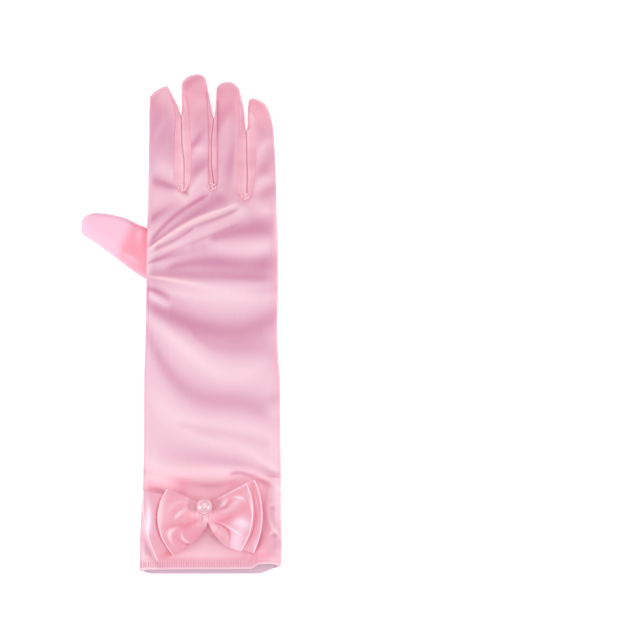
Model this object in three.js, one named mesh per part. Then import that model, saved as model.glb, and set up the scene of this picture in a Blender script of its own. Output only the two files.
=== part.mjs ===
// A girl's long satin glove for the right hand, lying palm down, with a double bow and a pearl at the cuff.
// Millimetres. The glove rests on z = 0, its fingers point along +y and its thumb lies towards -x.
import * as THREE from "three";

// Cloth and the gaps between sewn pieces
const WALL = 1;
const CLEAR = 0.35;

// Rows and columns of the faceted cloth
const TOP_CELLS = 18;
const BOTTOM_CELLS = 6;
const SIDE_CELLS = 4;
const FINGER_CELLS = 4;
const GAP_CELLS = 4;
const CUFF_ROWS = 26;
const THUMB_ROWS = 5;
const KNUCKLE_ROWS = 3;
const FINGER_ROWS = [0, 0.1, 0.2, 0.3, 0.4, 0.5, 0.6, 0.7, 0.78, 0.86, 0.92, 0.965, 1];
const CLOSED_FROM = 9; // the row of FINGER_ROWS from which a finger is closed all round up to its tip

// The slot for the thumb, in the left side of the hand
const THUMB_SLOT_LOW = 26;
const THUMB_SLOT_HIGH = 55.3;

// The fold along each side of the hand, in plan, and how far the back of the hand and fingers is domed
const SIDE_WIDTH = 4;
const HAND_CROWN = 0.8;
const FINGER_CROWN = 0.6;
const FINGER_THICK = 9.2;
const FINGER_LENGTH = 60;
const KNUCKLE_FADE = 4;
const TIP_RIDGE_HEIGHT = 2.6;
const TIP_ROUND_FROM = 0.78;
const TIP_SQUARENESS = 2.5;
const TIP_RISE_POWER = 4;
const SLOT_ROUNDNESS = 0.8;

// Edges and thickness of the flattened glove, from the mouth to the knuckles
const HAND = [
  { y: -150, left: -25.9, right: 59.3, thick: 9.6 },
  { y: -133, left: -25.5, right: 60.3, thick: 9.6 },
  { y: -115, left: -24.8, right: 59.3, thick: 9.6 },
  { y: -96, left: -23.6, right: 59.3, thick: 9.6 },
  { y: -70, left: -23.1, right: 59.0, thick: 11.4 },
  { y: -34, left: -23.0, right: 58.7, thick: 12.2 },
  { y: -16, left: -22.6, right: 57.5, thick: 13.0 },
  { y: 2, left: -22.1, right: 56.9, thick: 14.6 },
  { y: 24, left: -21.7, right: 57.5, thick: 17.0 },
  { y: 57, left: -21.2, right: 57.4, thick: 17.0 },
  { y: 70, left: -20.8, right: 56.8, thick: 13.4 },
  { y: 86, left: -20.5, right: 56.2, thick: 10.5 },
];

// The mouth of the upper and the lower layer, and the last full round of cloth below the finger slots
const MOUTH = [
  { x: -26, upper: -147.3, lower: -147.6, last: 75 },
  { x: -19, upper: -147.3, lower: -150, last: 75 },
  { x: 20, upper: -147.3, lower: -150, last: 75 },
  { x: 41, upper: -147.2, lower: -150, last: 70 },
  { x: 46, upper: -144, lower: -150, last: 69.5 },
  { x: 51, upper: -143.3, lower: -150, last: 69.5 },
  { x: 60, upper: -145.5, lower: -146.5, last: 69.5 },
];

// Folds on the back of the glove: ridges of a given width and height, bowed sideways by bend
const FOLDS = [
  { x0: -18.2, y0: 46.5, x1: 32.3, y1: 71.1, bend: 1.6, width: 2.6, height: 1.2 },
  { x0: -17.6, y0: 40.5, x1: 36, y1: 64, bend: 1.2, width: 2.8, height: 1.0 },
  { x0: -20, y0: 33, x1: 57, y1: 47, bend: 2, width: 6.5, height: 2.2 },
  { x0: -22, y0: 2, x1: 55, y1: -28, bend: -5, width: 7.5, height: 2.0 },
  { x0: -20, y0: -56, x1: 57, y1: -84, bend: -2, width: 5.5, height: 1.1 },
  { x0: 30, y0: -87.5, x1: 60, y1: -94, bend: 0.5, width: 2.4, height: 1.0 },
  { x0: -20, y0: 77, x1: -4, y1: 74, bend: 0.5, width: 3, height: 0.8 },
  { x0: 51, y0: -114, x1: 60, y1: -127, bend: 0, width: 2.2, height: 0.9 },
  { x0: 50, y0: -133, x1: 60, y1: -138, bend: 0, width: 2.2, height: 0.8 },
];

const FOLD_FADE = 5;
const FOLD_END = 0.4;

// Each finger from its knuckle (share 0) to its tip corners (share 1): the outermost edge and the seam of each side
const FINGERS = [
  {
    name: "index",
    fold: "left",
    knuckle: { left: 84.3, right: 84.3 },
    tip: { left: 135.9, right: 141.9, rise: 1.2 },
    sections: [
      { share: 0, left_edge: -20.5, left_seam: -17.3, right_seam: -4.7, right_edge: 0.6 },
      { share: 0.2, left_edge: -20.3, left_seam: -17.1, right_seam: -5.0, right_edge: 0.6 },
      { share: 0.4, left_edge: -20.2, left_seam: -17.0, right_seam: -4.8, right_edge: -0.6 },
      { share: 0.6, left_edge: -20.0, left_seam: -16.9, right_seam: -4.2, right_edge: -1.1 },
      { share: 0.75, left_edge: -20.0, left_seam: -17.0, right_seam: -4.3, right_edge: -1.6 },
      { share: 0.88, left_edge: -19.8, left_seam: -17.9, right_seam: -6.3, right_edge: -4.6 },
      { share: 1, left_edge: -19.7, left_seam: -19.7, right_seam: -8.5, right_edge: -8.5 },
    ],
  },
  {
    name: "middle",
    knuckle: { left: 84.3, right: 84.3 },
    tip: { left: 145.2, right: 147.3, rise: 3.75 },
    sections: [
      { share: 0, left_edge: 1.6, left_seam: 4.7, right_seam: 16.0, right_edge: 18.4 },
      { share: 0.2, left_edge: 1.5, left_seam: 5.4, right_seam: 15.8, right_edge: 17.0 },
      { share: 0.4, left_edge: 0.0, left_seam: 5.3, right_seam: 15.8, right_edge: 16.9 },
      { share: 0.6, left_edge: -0.4, left_seam: 4.2, right_seam: 15.7, right_edge: 18.2 },
      { share: 0.75, left_edge: -0.4, left_seam: 3.3, right_seam: 15.3, right_edge: 17.5 },
      { share: 0.88, left_edge: -0.2, left_seam: 1.9, right_seam: 14.8, right_edge: 15.9 },
      { share: 1, left_edge: 0.1, left_seam: 0.1, right_seam: 13.9, right_edge: 13.9 },
    ],
  },
  {
    name: "ring",
    knuckle: { left: 84.3, right: 81.3 },
    tip: { left: 142.2, right: 141.3, rise: 3.7 },
    sections: [
      { share: 0, left_edge: 19.3, left_seam: 20.9, right_seam: 32.6, right_edge: 38.5 },
      { share: 0.2, left_edge: 17.9, left_seam: 20.7, right_seam: 32.6, right_edge: 38.6 },
      { share: 0.4, left_edge: 17.8, left_seam: 20.7, right_seam: 33.0, right_edge: 38.4 },
      { share: 0.6, left_edge: 19.0, left_seam: 20.7, right_seam: 33.6, right_edge: 37.7 },
      { share: 0.75, left_edge: 19.5, left_seam: 20.7, right_seam: 33.8, right_edge: 37.1 },
      { share: 0.88, left_edge: 19.8, left_seam: 20.9, right_seam: 33.6, right_edge: 35.8 },
      { share: 1, left_edge: 20.5, left_seam: 20.5, right_seam: 33.2, right_edge: 33.2 },
    ],
  },
  {
    name: "little",
    fold: "right",
    knuckle: { left: 80.1, right: 78.9 },
    tip: { left: 132.6, right: 131.7, rise: 3.2 },
    sections: [
      { share: 0, left_edge: 39.4, left_seam: 42.6, right_seam: 53.1, right_edge: 56.3 },
      { share: 0.2, left_edge: 39.6, left_seam: 43.9, right_seam: 52.6, right_edge: 55.8 },
      { share: 0.4, left_edge: 39.5, left_seam: 44.3, right_seam: 52.2, right_edge: 55.4 },
      { share: 0.6, left_edge: 39.3, left_seam: 44.3, right_seam: 51.7, right_edge: 54.8 },
      { share: 0.75, left_edge: 39.2, left_seam: 43.8, right_seam: 51.0, right_edge: 53.9 },
      { share: 0.88, left_edge: 39.3, left_seam: 42.6, right_seam: 50.4, right_edge: 52.4 },
      { share: 1, left_edge: 40.1, left_seam: 40.1, right_seam: 50.3, right_edge: 50.3 },
    ],
  },
];

// The slots between the fingers: the lowest point of the seam, and of the strip's outer edge above it
const SLOTS = [
  { name: "fourchette_index_middle", seam_x: -0.1, seam_y: 78.9, edge_x: 1.1, edge_y: 81.6 },
  { name: "fourchette_middle_ring", seam_x: 18.2, seam_y: 79.7, edge_x: 18.8, edge_y: 82.2 },
  { name: "fourchette_ring_little", seam_x: 37.8, seam_y: 73.9, edge_x: 38.9, edge_y: 78.4 },
];

// The thumb from inside its slot to its tip corners: its lower and upper edges in plan, and its height
const THUMB = [
  { share: 0, low_x: -16.2, low_y: 26.6, high_x: -16.2, high_y: 54.7, bottom: 1.35, top: 8.1, side: 1.6 },
  { share: 0.06, low_x: -18.6, low_y: 26.6, high_x: -18.6, high_y: 54.7, bottom: 1.35, top: 8.1, side: 1.8 },
  { share: 0.13, low_x: -21.8, low_y: 26.6, high_x: -21.6, high_y: 54.8, bottom: 0.2, top: 8.1, side: 2.4 },
  { share: 0.22, low_x: -26.6, low_y: 29.2, high_x: -26.6, high_y: 59.2, bottom: 0, top: 8.2, side: 3 },
  { share: 0.36, low_x: -32.6, low_y: 33.4, high_x: -33.0, high_y: 62.8, bottom: 0, top: 8.6, side: 3.2 },
  { share: 0.5, low_x: -38.6, low_y: 38.0, high_x: -39.6, high_y: 64.8, bottom: 0, top: 8.8, side: 3.2 },
  { share: 0.66, low_x: -45.6, low_y: 43.2, high_x: -47.0, high_y: 66.2, bottom: 0, top: 8.8, side: 3.2 },
  { share: 0.82, low_x: -52.6, low_y: 48.2, high_x: -53.0, high_y: 66.6, bottom: 0, top: 8.4, side: 3 },
  { share: 1, low_x: -59.0, low_y: 52.6, high_x: -57.8, high_y: 65.4, bottom: 0, top: 8.0, side: 2.4 },
];
const THUMB_TUBE_ROWS = [0, 0.06, 0.13, 0.22, 0.31, 0.4, 0.49, 0.58, 0.67, 0.76, 0.84, 0.9, 0.95, 0.98, 1];
const THUMB_TIP_RISE = 1.9;
const THUMB_TIP_SIDE = 0.25;

// The two bows, about the middle of their knot, and the bead on it
const BOW_X = 13.5;
const BOW_Y = -114;
const BOW_FRONT_CELLS = 14;
const BOW_BACK_CELLS = 8;
const BOW_FOLD_CELLS = 2;
const BOW_ROWS = 6;
const BOW_FOLD_WIDTH = 1.4;
const PLEAT_FROM = 0.3;
const PLEATS = 3;
const BOW_LOWER = {
  base: 12.2,
  pleat: 0,
  ends: [
    { side: -1, at_bottom: 28, at_middle: 34.4, at_top: 36.4 },
    { side: 1, at_bottom: 29.6, at_middle: 34.6, at_top: 30 },
  ],
  sections: [
    { share: -1, top: 13.8, bottom: -27.8, back: 0, opening: 3.2 },
    { share: -0.6, top: 11.5, bottom: -23, back: 0, opening: 5.4 },
    { share: -0.19, top: 7.9, bottom: -8.1, back: 0, opening: 1.4 },
    { share: 0, top: 7.8, bottom: -8, back: 0, opening: 1.4 },
    { share: 0.19, top: 7.9, bottom: -8.1, back: 0, opening: 1.4 },
    { share: 0.6, top: 16, bottom: -19, back: 0, opening: 5.4 },
    { share: 1, top: 20.4, bottom: -23, back: 0, opening: 3.2 },
  ],
};
const BOW_UPPER = {
  base: 14.95,
  pleat: 0.7,
  ends: [
    { side: -1, at_bottom: 18.5, at_middle: 27.4, at_top: 22 },
    { side: 1, at_bottom: 22, at_middle: 29.2, at_top: 25.4 },
  ],
  sections: [
    { share: -1, top: 15, bottom: -23.6, back: 4.6, opening: 3.4 },
    { share: -0.6, top: 11.6, bottom: -20.5, back: 4.2, opening: 5.6 },
    { share: -0.3, top: 7.9, bottom: -8.1, back: 0, opening: 1.4 },
    { share: 0, top: 7.8, bottom: -8, back: 0, opening: 1.4 },
    { share: 0.29, top: 7.7, bottom: -8.2, back: 0, opening: 1.4 },
    { share: 0.6, top: 13, bottom: -18.8, back: 4.2, opening: 5.6 },
    { share: 1, top: 18.8, bottom: -21.4, back: 4.6, opening: 3.4 },
  ],
};
const KNOT = { half_width: 4.3, half_length: 10.4, bottom: 10.85, top: 18.8, squareness: 8 };
const KNOT_CELLS = 20;
const KNOT_ROWS = 2;
const PEARL_RADIUS = 5;
const PEARL_X = 13.4;
const PEARL_Y = -109.6;

const COLOURS = { satin: 0xf0c4d2, strip: 0xeab0bf, bow: 0xf6c3cd, pearl: 0xf0a3ae };

const mix = (a, b, t) => a + (b - a) * t;
const ease = (t) => {
  const held = Math.min(1, Math.max(0, t));
  return held * held * (3 - 2 * held);
};
const arch = (t) => 4 * t * (1 - t);
const steps = (cells) => Array.from({ length: cells + 1 }, (_, i) => i / cells);

// A smooth curve through one column of a table, without overshoot, read at a value of the key column.
function curve(rows, key, name) {
  const at = rows.map((row) => row[key]);
  const value = rows.map((row) => row[name]);
  const slope = at.slice(1).map((x, i) => (value[i + 1] - value[i]) / (x - at[i]));
  const tangent = at.map((_, i) => {
    if (i === 0) return slope[0];
    if (i === at.length - 1) return slope[i - 1];
    const product = slope[i - 1] * slope[i];
    return product > 0 ? (2 * product) / (slope[i - 1] + slope[i]) : 0;
  });
  return (x) => {
    const held = Math.min(at[at.length - 1], Math.max(at[0], x));
    const i = Math.max(0, at.findIndex((end) => held <= end) - 1);
    const width = at[i + 1] - at[i];
    const t = (held - at[i]) / width;
    const start = value[i] * (1 + 2 * t) * (1 - t) ** 2 + tangent[i] * width * t * (1 - t) ** 2;
    const end = value[i + 1] * (3 - 2 * t) * t ** 2 - tangent[i + 1] * width * t ** 2 * (1 - t);
    return start + end;
  };
}

const curves = (rows, key, names) =>
  Object.fromEntries(names.map((name) => [name, curve(rows, key, name)]));

// Cloth of a wall's thickness: each point has a place on the outer and on the inner face.
class Cloth {
  constructor() {
    this.outer = [];
    this.inner = [];
    this.faces = [];
  }

  row(outer, inner) {
    return outer.map((place, i) => {
      this.outer.push(place);
      this.inner.push(inner[i]);
      return this.outer.length - 1;
    });
  }

  face(...ids) {
    const ring = ids.filter((id, i) => id !== ids[(i + 1) % ids.length]);
    if (ring.length > 2) this.faces.push(ring);
  }

  // Joins a row of points to the next one, with quads, or with triangles where their numbers differ.
  join(near, far) {
    if (near.length === far.length) {
      for (let i = 1; i < near.length; i++) this.face(near[i - 1], near[i], far[i], far[i - 1]);
      return;
    }
    const along = (row, i) => Math.abs(this.outer[row[i]].x - this.outer[row[0]].x);
    let i = 0;
    let j = 0;
    while (i < near.length - 1 || j < far.length - 1) {
      const nearNext = i < near.length - 1 ? along(near, i + 1) : Infinity;
      const farNext = j < far.length - 1 ? along(far, j + 1) : Infinity;
      if (nearNext <= farNext) {
        this.face(near[i], near[i + 1], far[j]);
        i++;
      } else {
        this.face(near[i], far[j + 1], far[j]);
        j++;
      }
    }
  }

  geometry() {
    const count = this.outer.length;
    const triangles = [];
    const edges = new Set();
    const fan = (ring) => {
      for (let i = 2; i < ring.length; i++) triangles.push(ring[0], ring[i - 1], ring[i]);
    };
    for (const ring of this.faces) {
      fan(ring);
      fan(ring.map((id) => id + count).reverse());
      ring.forEach((id, i) => edges.add(`${id} ${ring[(i + 1) % ring.length]}`));
    }
    for (const edge of edges) {
      const [a, b] = edge.split(" ").map(Number);
      if (!edges.has(`${b} ${a}`)) fan([b, a, a + count, b + count]);
    }
    const places = [...this.outer, ...this.inner].flatMap((place) => [place.x, place.y, place.z]);
    const used = [...new Set(triangles)].sort((a, b) => a - b);
    const renumber = new Map(used.map((id, i) => [id, i]));
    const made = new THREE.BufferGeometry();
    const kept = used.flatMap((id) => places.slice(3 * id, 3 * id + 3));
    made.setAttribute("position", new THREE.Float32BufferAttribute(kept, 3));
    made.setIndex(triangles.map((id) => renumber.get(id)));
    made.computeVertexNormals();
    return made;
  }
}

// One section of a flattened tube, as four runs of points that share their ends:
// over the top from left to right, down the right side, back along the bottom and up the left side.
function sectionRuns(section, cells) {
  const { left, leftSeam, rightSeam, right, low, high } = section;
  const place = ([x, y], z) => new THREE.Vector3(x, y, z);
  const between = (a, b, share) => [mix(a[0], b[0], share), mix(a[1], b[1], share)];
  const across = steps(cells);
  const dome = (share) => section.crown * (1 - (2 * share - 1) ** 2);
  const side = (seam, edge) => (turn) => {
    const z = (high + low) / 2 + ((high - low) / 2) * Math.cos(Math.PI * turn);
    return place(between(seam, edge, Math.sin(Math.PI * turn)), z);
  };
  const turns = steps(SIDE_CELLS).slice(1, -1);
  return {
    top: across.map((share) => place(between(leftSeam, rightSeam, share), high + dome(share))),
    right: turns.map(side(rightSeam, right)),
    bottom: across.map((share) => place(between(rightSeam, leftSeam, share), low)),
    left: [...turns].reverse().map(side(leftSeam, left)),
  };
}

// Moves the edge of a side in by the inset, measured from its seam.
function insetEdge(seam, edge, inset) {
  const width = Math.hypot(edge[0] - seam[0], edge[1] - seam[1]);
  const kept = width > inset ? 1 - inset / width : 0;
  return [mix(seam[0], edge[0], kept), mix(seam[1], edge[1], kept)];
}

const hand = curves(HAND, "y", ["left", "right", "thick"]);
const mouth = curves(MOUTH, "x", ["upper", "lower", "last"]);

function foldHeight(x, y) {
  return FOLDS.reduce((sum, fold) => {
    const alongX = fold.x1 - fold.x0;
    const alongY = fold.y1 - fold.y0;
    const length = Math.hypot(alongX, alongY);
    const along = ((x - fold.x0) * alongX + (y - fold.y0) * alongY) / length ** 2;
    const across = ((y - fold.y0) * alongX - (x - fold.x0) * alongY) / length;
    const bowed = across - fold.bend * arch(along);
    const ends = ease(along * FOLD_FADE) * ease((1 - along) * FOLD_FADE + FOLD_END);
    return sum + fold.height * ends * Math.exp(-((bowed / fold.width) ** 2));
  }, 0);
}

// The round of cloth at a share of the way from the mouth to the last full round, moved in by the inset.
function handSection(share, inset) {
  const flatY = mix(MOUTH[0].upper, MOUTH[0].last, share);
  const runs = {};
  const level = (x, layer) => mix(mouth[layer](x), mouth.last(x), share);
  const placeAt = (across, layer) => {
    const x = mix(hand.left(flatY) + SIDE_WIDTH, hand.right(flatY) - SIDE_WIDTH, across);
    const y = level(x, layer);
    const high = hand.thick(y) + HAND_CROWN * (1 - (2 * across - 1) ** 2) + foldHeight(x, y);
    return new THREE.Vector3(x, y, layer === "upper" ? high - inset : inset);
  };
  runs.top = steps(TOP_CELLS).map((across) => placeAt(across, "upper"));
  runs.bottom = steps(BOTTOM_CELLS).map((across) => placeAt(1 - across, "lower"));
  const side = (seam, under, direction) => (turn) => {
    const reach = (SIDE_WIDTH - inset) * Math.sin(Math.PI * turn);
    const cosine = Math.cos(Math.PI * turn);
    const z = (seam.z + under.z) / 2 + ((seam.z - under.z) / 2) * cosine;
    return new THREE.Vector3(seam.x + direction * reach, mix(seam.y, under.y, turn), z);
  };
  const turns = steps(SIDE_CELLS).slice(1, -1);
  const lastTop = runs.top[TOP_CELLS];
  runs.right = turns.map(side(lastTop, runs.bottom[0], 1));
  runs.left = [...turns].reverse().map(side(runs.top[0], runs.bottom[BOTTOM_CELLS], -1));
  return runs;
}

// Adds a section's four runs to the cloth and gives back the ids of each run with its shared ends.
function addRuns(cloth, outer, inner) {
  const ids = {};
  for (const name of ["top", "right", "bottom", "left"]) {
    ids[name] = cloth.row(outer[name], inner[name]);
  }
  return closeRuns(ids);
}

function closeRuns(ids) {
  const { top, right, bottom, left } = ids;
  return {
    top,
    bottom,
    right: [top[top.length - 1], ...right, bottom[0]],
    left: [bottom[bottom.length - 1], ...left, top[0]],
  };
}

// Shares of the rows of the hand, with one at each end of the thumb's slot
function handShares() {
  const start = MOUTH[0].upper;
  const share = (y) => (y - start) / (MOUTH[0].last - start);
  const marks = [
    { from: 0, to: share(THUMB_SLOT_LOW), rows: CUFF_ROWS },
    { from: share(THUMB_SLOT_LOW), to: share(THUMB_SLOT_HIGH), rows: THUMB_ROWS },
    { from: share(THUMB_SLOT_HIGH), to: 1, rows: KNUCKLE_ROWS },
  ];
  return [0, ...marks.flatMap((mark) => steps(mark.rows).slice(1).map((t) => mix(mark.from, mark.to, t)))];
}

// The share at which the inner face's rows lie: towards the tip they stand back from the outer ones, by two walls.
function standBack(share, inset, length) {
  const closed = FINGER_ROWS[CLOSED_FROM];
  return share - ((2 * inset) / length) * Math.max(0, (share - closed) / (1 - closed));
}

// A finger's section at a share of its length
function fingerSection(finger, share, inset) {
  const plan = standBack(share, inset, FINGER_LENGTH);
  const leftY = mix(finger.knuckle.left, finger.tip.left, plan);
  const rightY = mix(finger.knuckle.right, finger.tip.right, plan);
  const round = (share - TIP_ROUND_FROM) / (1 - TIP_ROUND_FROM);
  const fullness = round > 0 ? Math.sqrt(Math.max(0, 1 - round ** 2)) : 1;
  const thick = mix(hand.thick(leftY), FINGER_THICK, ease(share * KNUCKLE_FADE));
  const leftSeam = [finger.curves.left_seam(plan), leftY];
  const rightSeam = [finger.curves.right_seam(plan), rightY];
  return {
    left: insetEdge(leftSeam, [finger.curves.left_edge(plan), leftY], inset),
    leftSeam,
    rightSeam,
    right: insetEdge(rightSeam, [finger.curves.right_edge(plan), rightY], inset),
    low: TIP_RIDGE_HEIGHT + (inset - TIP_RIDGE_HEIGHT) * fullness,
    high: TIP_RIDGE_HEIGHT + (thick - inset - TIP_RIDGE_HEIGHT) * fullness,
    crown: FINGER_CROWN * fullness,
  };
}

// The runs of a section whose tip is bowed forward, along the direction given
function tubeRuns(section, cells, forward) {
  const runs = sectionRuns(section, cells);
  const push = (run, shareOf) =>
    run.forEach((place, i) => {
      const bow = 1 - Math.abs(2 * shareOf(i) - 1) ** TIP_SQUARENESS;
      place.x += forward.x * bow;
      place.y += forward.y * bow;
    });
  push(runs.top, (i) => i / cells);
  push(runs.bottom, (i) => 1 - i / cells);
  return runs;
}

function fingerRuns(finger, share, inset) {
  const forward = { x: 0, y: finger.tip.rise * share ** TIP_RISE_POWER };
  return tubeRuns(fingerSection(finger, share, inset), FINGER_CELLS, forward);
}

// The last section of a closed tube: its top, bottom and sides meet in one ridge.
function addRidge(cloth, outer, inner) {
  const top = cloth.row(outer.top, inner.top);
  const ends = (id) => Array(SIDE_CELLS + 1).fill(id);
  return { top, bottom: [...top].reverse(), right: ends(top[top.length - 1]), left: ends(top[0]) };
}

// The rim of a slot between two fingers at the knuckles, from one seam to the next, on the top or the bottom
function slotRim(slot, before, after, inset, onTop) {
  const start = before.rightSeam;
  const end = after.leftSeam;
  return steps(GAP_CELLS)
    .slice(1, -1)
    .map((t) => {
      const depth = Math.sin(Math.PI * t) ** SLOT_ROUNDNESS;
      const straightX = mix(start[0], end[0], t);
      const straightY = mix(start[1], end[1], t);
      const x = straightX + (slot.seam_x - (start[0] + end[0]) / 2) * depth;
      const y = straightY + (slot.seam_y - (start[1] + end[1]) / 2) * depth;
      return new THREE.Vector3(x, y, onTop ? hand.thick(y) - inset : inset);
    });
}

// Back and palm in one: the hand, the four fingers above it, the slots between them and the thumb's slot
function trankGeometry() {
  const cloth = new Cloth();
  const shares = handShares();
  const rounds = shares.map((share) =>
    addRuns(cloth, handSection(share, 0), handSection(share, WALL)),
  );
  const slotLow = CUFF_ROWS;
  const slotHigh = CUFF_ROWS + THUMB_ROWS;
  for (let i = 1; i < rounds.length; i++) {
    const near = rounds[i - 1];
    const far = rounds[i];
    cloth.join(near.top, far.top);
    cloth.join(near.right, far.right);
    cloth.join(near.bottom, far.bottom);
    const open = i > slotLow && i <= slotHigh ? SIDE_CELLS / 2 : 0;
    cloth.join(near.left.slice(open), far.left.slice(open));
  }

  const knuckles = FINGERS.map((finger) => ({
    outer: fingerRuns(finger, 0, 0),
    inner: fingerRuns(finger, 0, WALL),
    flat: fingerSection(finger, 0, 0),
  }));
  const roots = knuckles.map(({ outer, inner }) => addRuns(cloth, outer, inner));
  const rims = SLOTS.map((slot, i) => {
    const rim = (inset, onTop) =>
      slotRim(slot, knuckles[i].flat, knuckles[i + 1].flat, inset, onTop);
    return {
      top: cloth.row(rim(0, true), rim(WALL, true)),
      bottom: cloth.row(rim(0, false), rim(WALL, false)).reverse(),
    };
  });
  const knuckleTop = roots.flatMap((root, i) => (i ? [...rims[i - 1].top, ...root.top] : root.top));
  const knuckleBottom = [...roots.keys()]
    .reverse()
    .flatMap((i) => (i ? [...roots[i].bottom, ...rims[i - 1].bottom] : roots[i].bottom));
  const last = rounds[rounds.length - 1];
  cloth.join(last.top, knuckleTop);
  cloth.join(last.bottom, knuckleBottom);
  cloth.join(last.left, roots[0].left);
  cloth.join(last.right, roots[roots.length - 1].right);

  FINGERS.forEach((finger, f) => {
    let near = roots[f];
    FINGER_ROWS.slice(1).forEach((share, i) => {
      const outer = fingerRuns(finger, share, 0);
      const inner = fingerRuns(finger, share, WALL);
      const far = share === 1 ? addRidge(cloth, outer, inner) : addRuns(cloth, outer, inner);
      cloth.join(near.top, far.top);
      cloth.join(near.bottom, far.bottom);
      for (const side of ["left", "right"]) {
        if (finger.fold === side || i >= CLOSED_FROM) cloth.join(near[side], far[side]);
      }
      near = far;
    });
  });
  return cloth.geometry();
}

// A strip sewn into a slot: down the side of one finger, round the crotch and up the side of the next
function fourchetteGeometry(slot, before, after) {
  const shares = FINGER_ROWS.slice(0, CLOSED_FROM + 1);
  shares[CLOSED_FROM] -= (2 * CLEAR) / FINGER_LENGTH;
  const station = (finger, share, side) => {
    const section = fingerSection(finger, share, 0);
    return { seam: section[`${side}Seam`], edge: section[side], low: section.low, high: section.high };
  };
  const down = [...shares].reverse().map((share) => station(before, share, "right"));
  const up = shares.map((share) => station(after, share, "left"));
  const root = { start: down[down.length - 1], end: up[0] };
  const rim = slotRim(slot, fingerSection(before, 0, 0), fingerSection(after, 0, 0), 0, true);
  const crotch = rim.map((place, i) => {
    const t = (i + 1) / GAP_CELLS;
    const depth = Math.sin(Math.PI * t) ** SLOT_ROUNDNESS;
    const straight = mix(root.start.edge[0], root.end.edge[0], t);
    const level = mix(root.start.edge[1], root.end.edge[1], t);
    const middleX = (root.start.edge[0] + root.end.edge[0]) / 2;
    const middleY = (root.start.edge[1] + root.end.edge[1]) / 2;
    const edge = [straight + (slot.edge_x - middleX) * depth, level + (slot.edge_y - middleY) * depth];
    return { seam: [place.x, place.y], edge, low: 0, high: place.z };
  });
  const across = steps(SIDE_CELLS);
  const layer = (at, inset) =>
    across.map((turn) => {
      const width = Math.hypot(at.edge[0] - at.seam[0], at.edge[1] - at.seam[1]);
      const reach = CLEAR + (width - CLEAR - inset) * Math.sin(Math.PI * turn);
      const x = at.seam[0] + ((at.edge[0] - at.seam[0]) / width) * reach;
      const y = at.seam[1] + ((at.edge[1] - at.seam[1]) / width) * reach;
      const half = (at.high - at.low) / 2 - inset;
      return new THREE.Vector3(x, y, (at.high + at.low) / 2 + half * Math.cos(Math.PI * turn));
    });
  const cloth = new Cloth();
  const rows = [...down, ...crotch, ...up].map((at) => cloth.row(layer(at, 0), layer(at, WALL)));
  for (let i = 1; i < rows.length; i++) cloth.join(rows[i], rows[i - 1]);
  return cloth.geometry();
}

// The thumb: a flattened tube, open inside the hand and closed at its tip
function thumbGeometry() {
  const names = ["low_x", "low_y", "high_x", "high_y", "bottom", "top", "side"];
  const thumb = curves(THUMB, "share", names);
  const root = THUMB[0];
  const tip = THUMB[THUMB.length - 1];
  const length = Math.hypot(root.low_x - tip.low_x, root.low_y - tip.low_y);
  const section = (share, inset) => {
    const plan = standBack(share, inset, length);
    const low = [thumb.low_x(plan), thumb.low_y(plan)];
    const high = [thumb.high_x(plan), thumb.high_y(plan)];
    const width = Math.hypot(high[0] - low[0], high[1] - low[1]);
    const along = [(high[0] - low[0]) / width, (high[1] - low[1]) / width];
    const round = (share - TIP_ROUND_FROM) / (1 - TIP_ROUND_FROM);
    const fullness = round > 0 ? Math.sqrt(Math.max(0, 1 - round ** 2)) : 1;
    const side = thumb.side(plan) * mix(THUMB_TIP_SIDE, 1, fullness);
    const leftSeam = [low[0] + along[0] * side, low[1] + along[1] * side];
    const rightSeam = [high[0] - along[0] * side, high[1] - along[1] * side];
    return {
      left: insetEdge(leftSeam, low, inset),
      leftSeam,
      rightSeam,
      right: insetEdge(rightSeam, high, inset),
      low: TIP_RIDGE_HEIGHT + (thumb.bottom(plan) + inset - TIP_RIDGE_HEIGHT) * fullness,
      high: TIP_RIDGE_HEIGHT + (thumb.top(plan) - inset - TIP_RIDGE_HEIGHT) * fullness,
      crown: 0,
    };
  };
  const runs = (share, inset) => {
    const forward = { x: -THUMB_TIP_RISE * share ** TIP_RISE_POWER, y: 0 };
    return tubeRuns(section(share, inset), FINGER_CELLS, forward);
  };
  const cloth = new Cloth();
  let near = null;
  for (const share of THUMB_TUBE_ROWS) {
    const add = share === 1 ? addRidge : addRuns;
    const far = add(cloth, runs(share, 0), runs(share, WALL));
    if (near) for (const name of Object.keys(near)) cloth.join(near[name], far[name]);
    near = far;
  }
  return cloth.geometry();
}

// The turned-in hem: a second layer inside the first round of the mouth
function hemGeometry() {
  const cloth = new Cloth();
  const outerInset = WALL + CLEAR;
  const rounds = handShares()
    .slice(0, 2)
    .map((share) => addRuns(cloth, handSection(share, outerInset), handSection(share, outerInset + WALL)));
  for (const name of Object.keys(rounds[0])) cloth.join(rounds[0][name], rounds[1][name]);
  return cloth.geometry();
}

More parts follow.
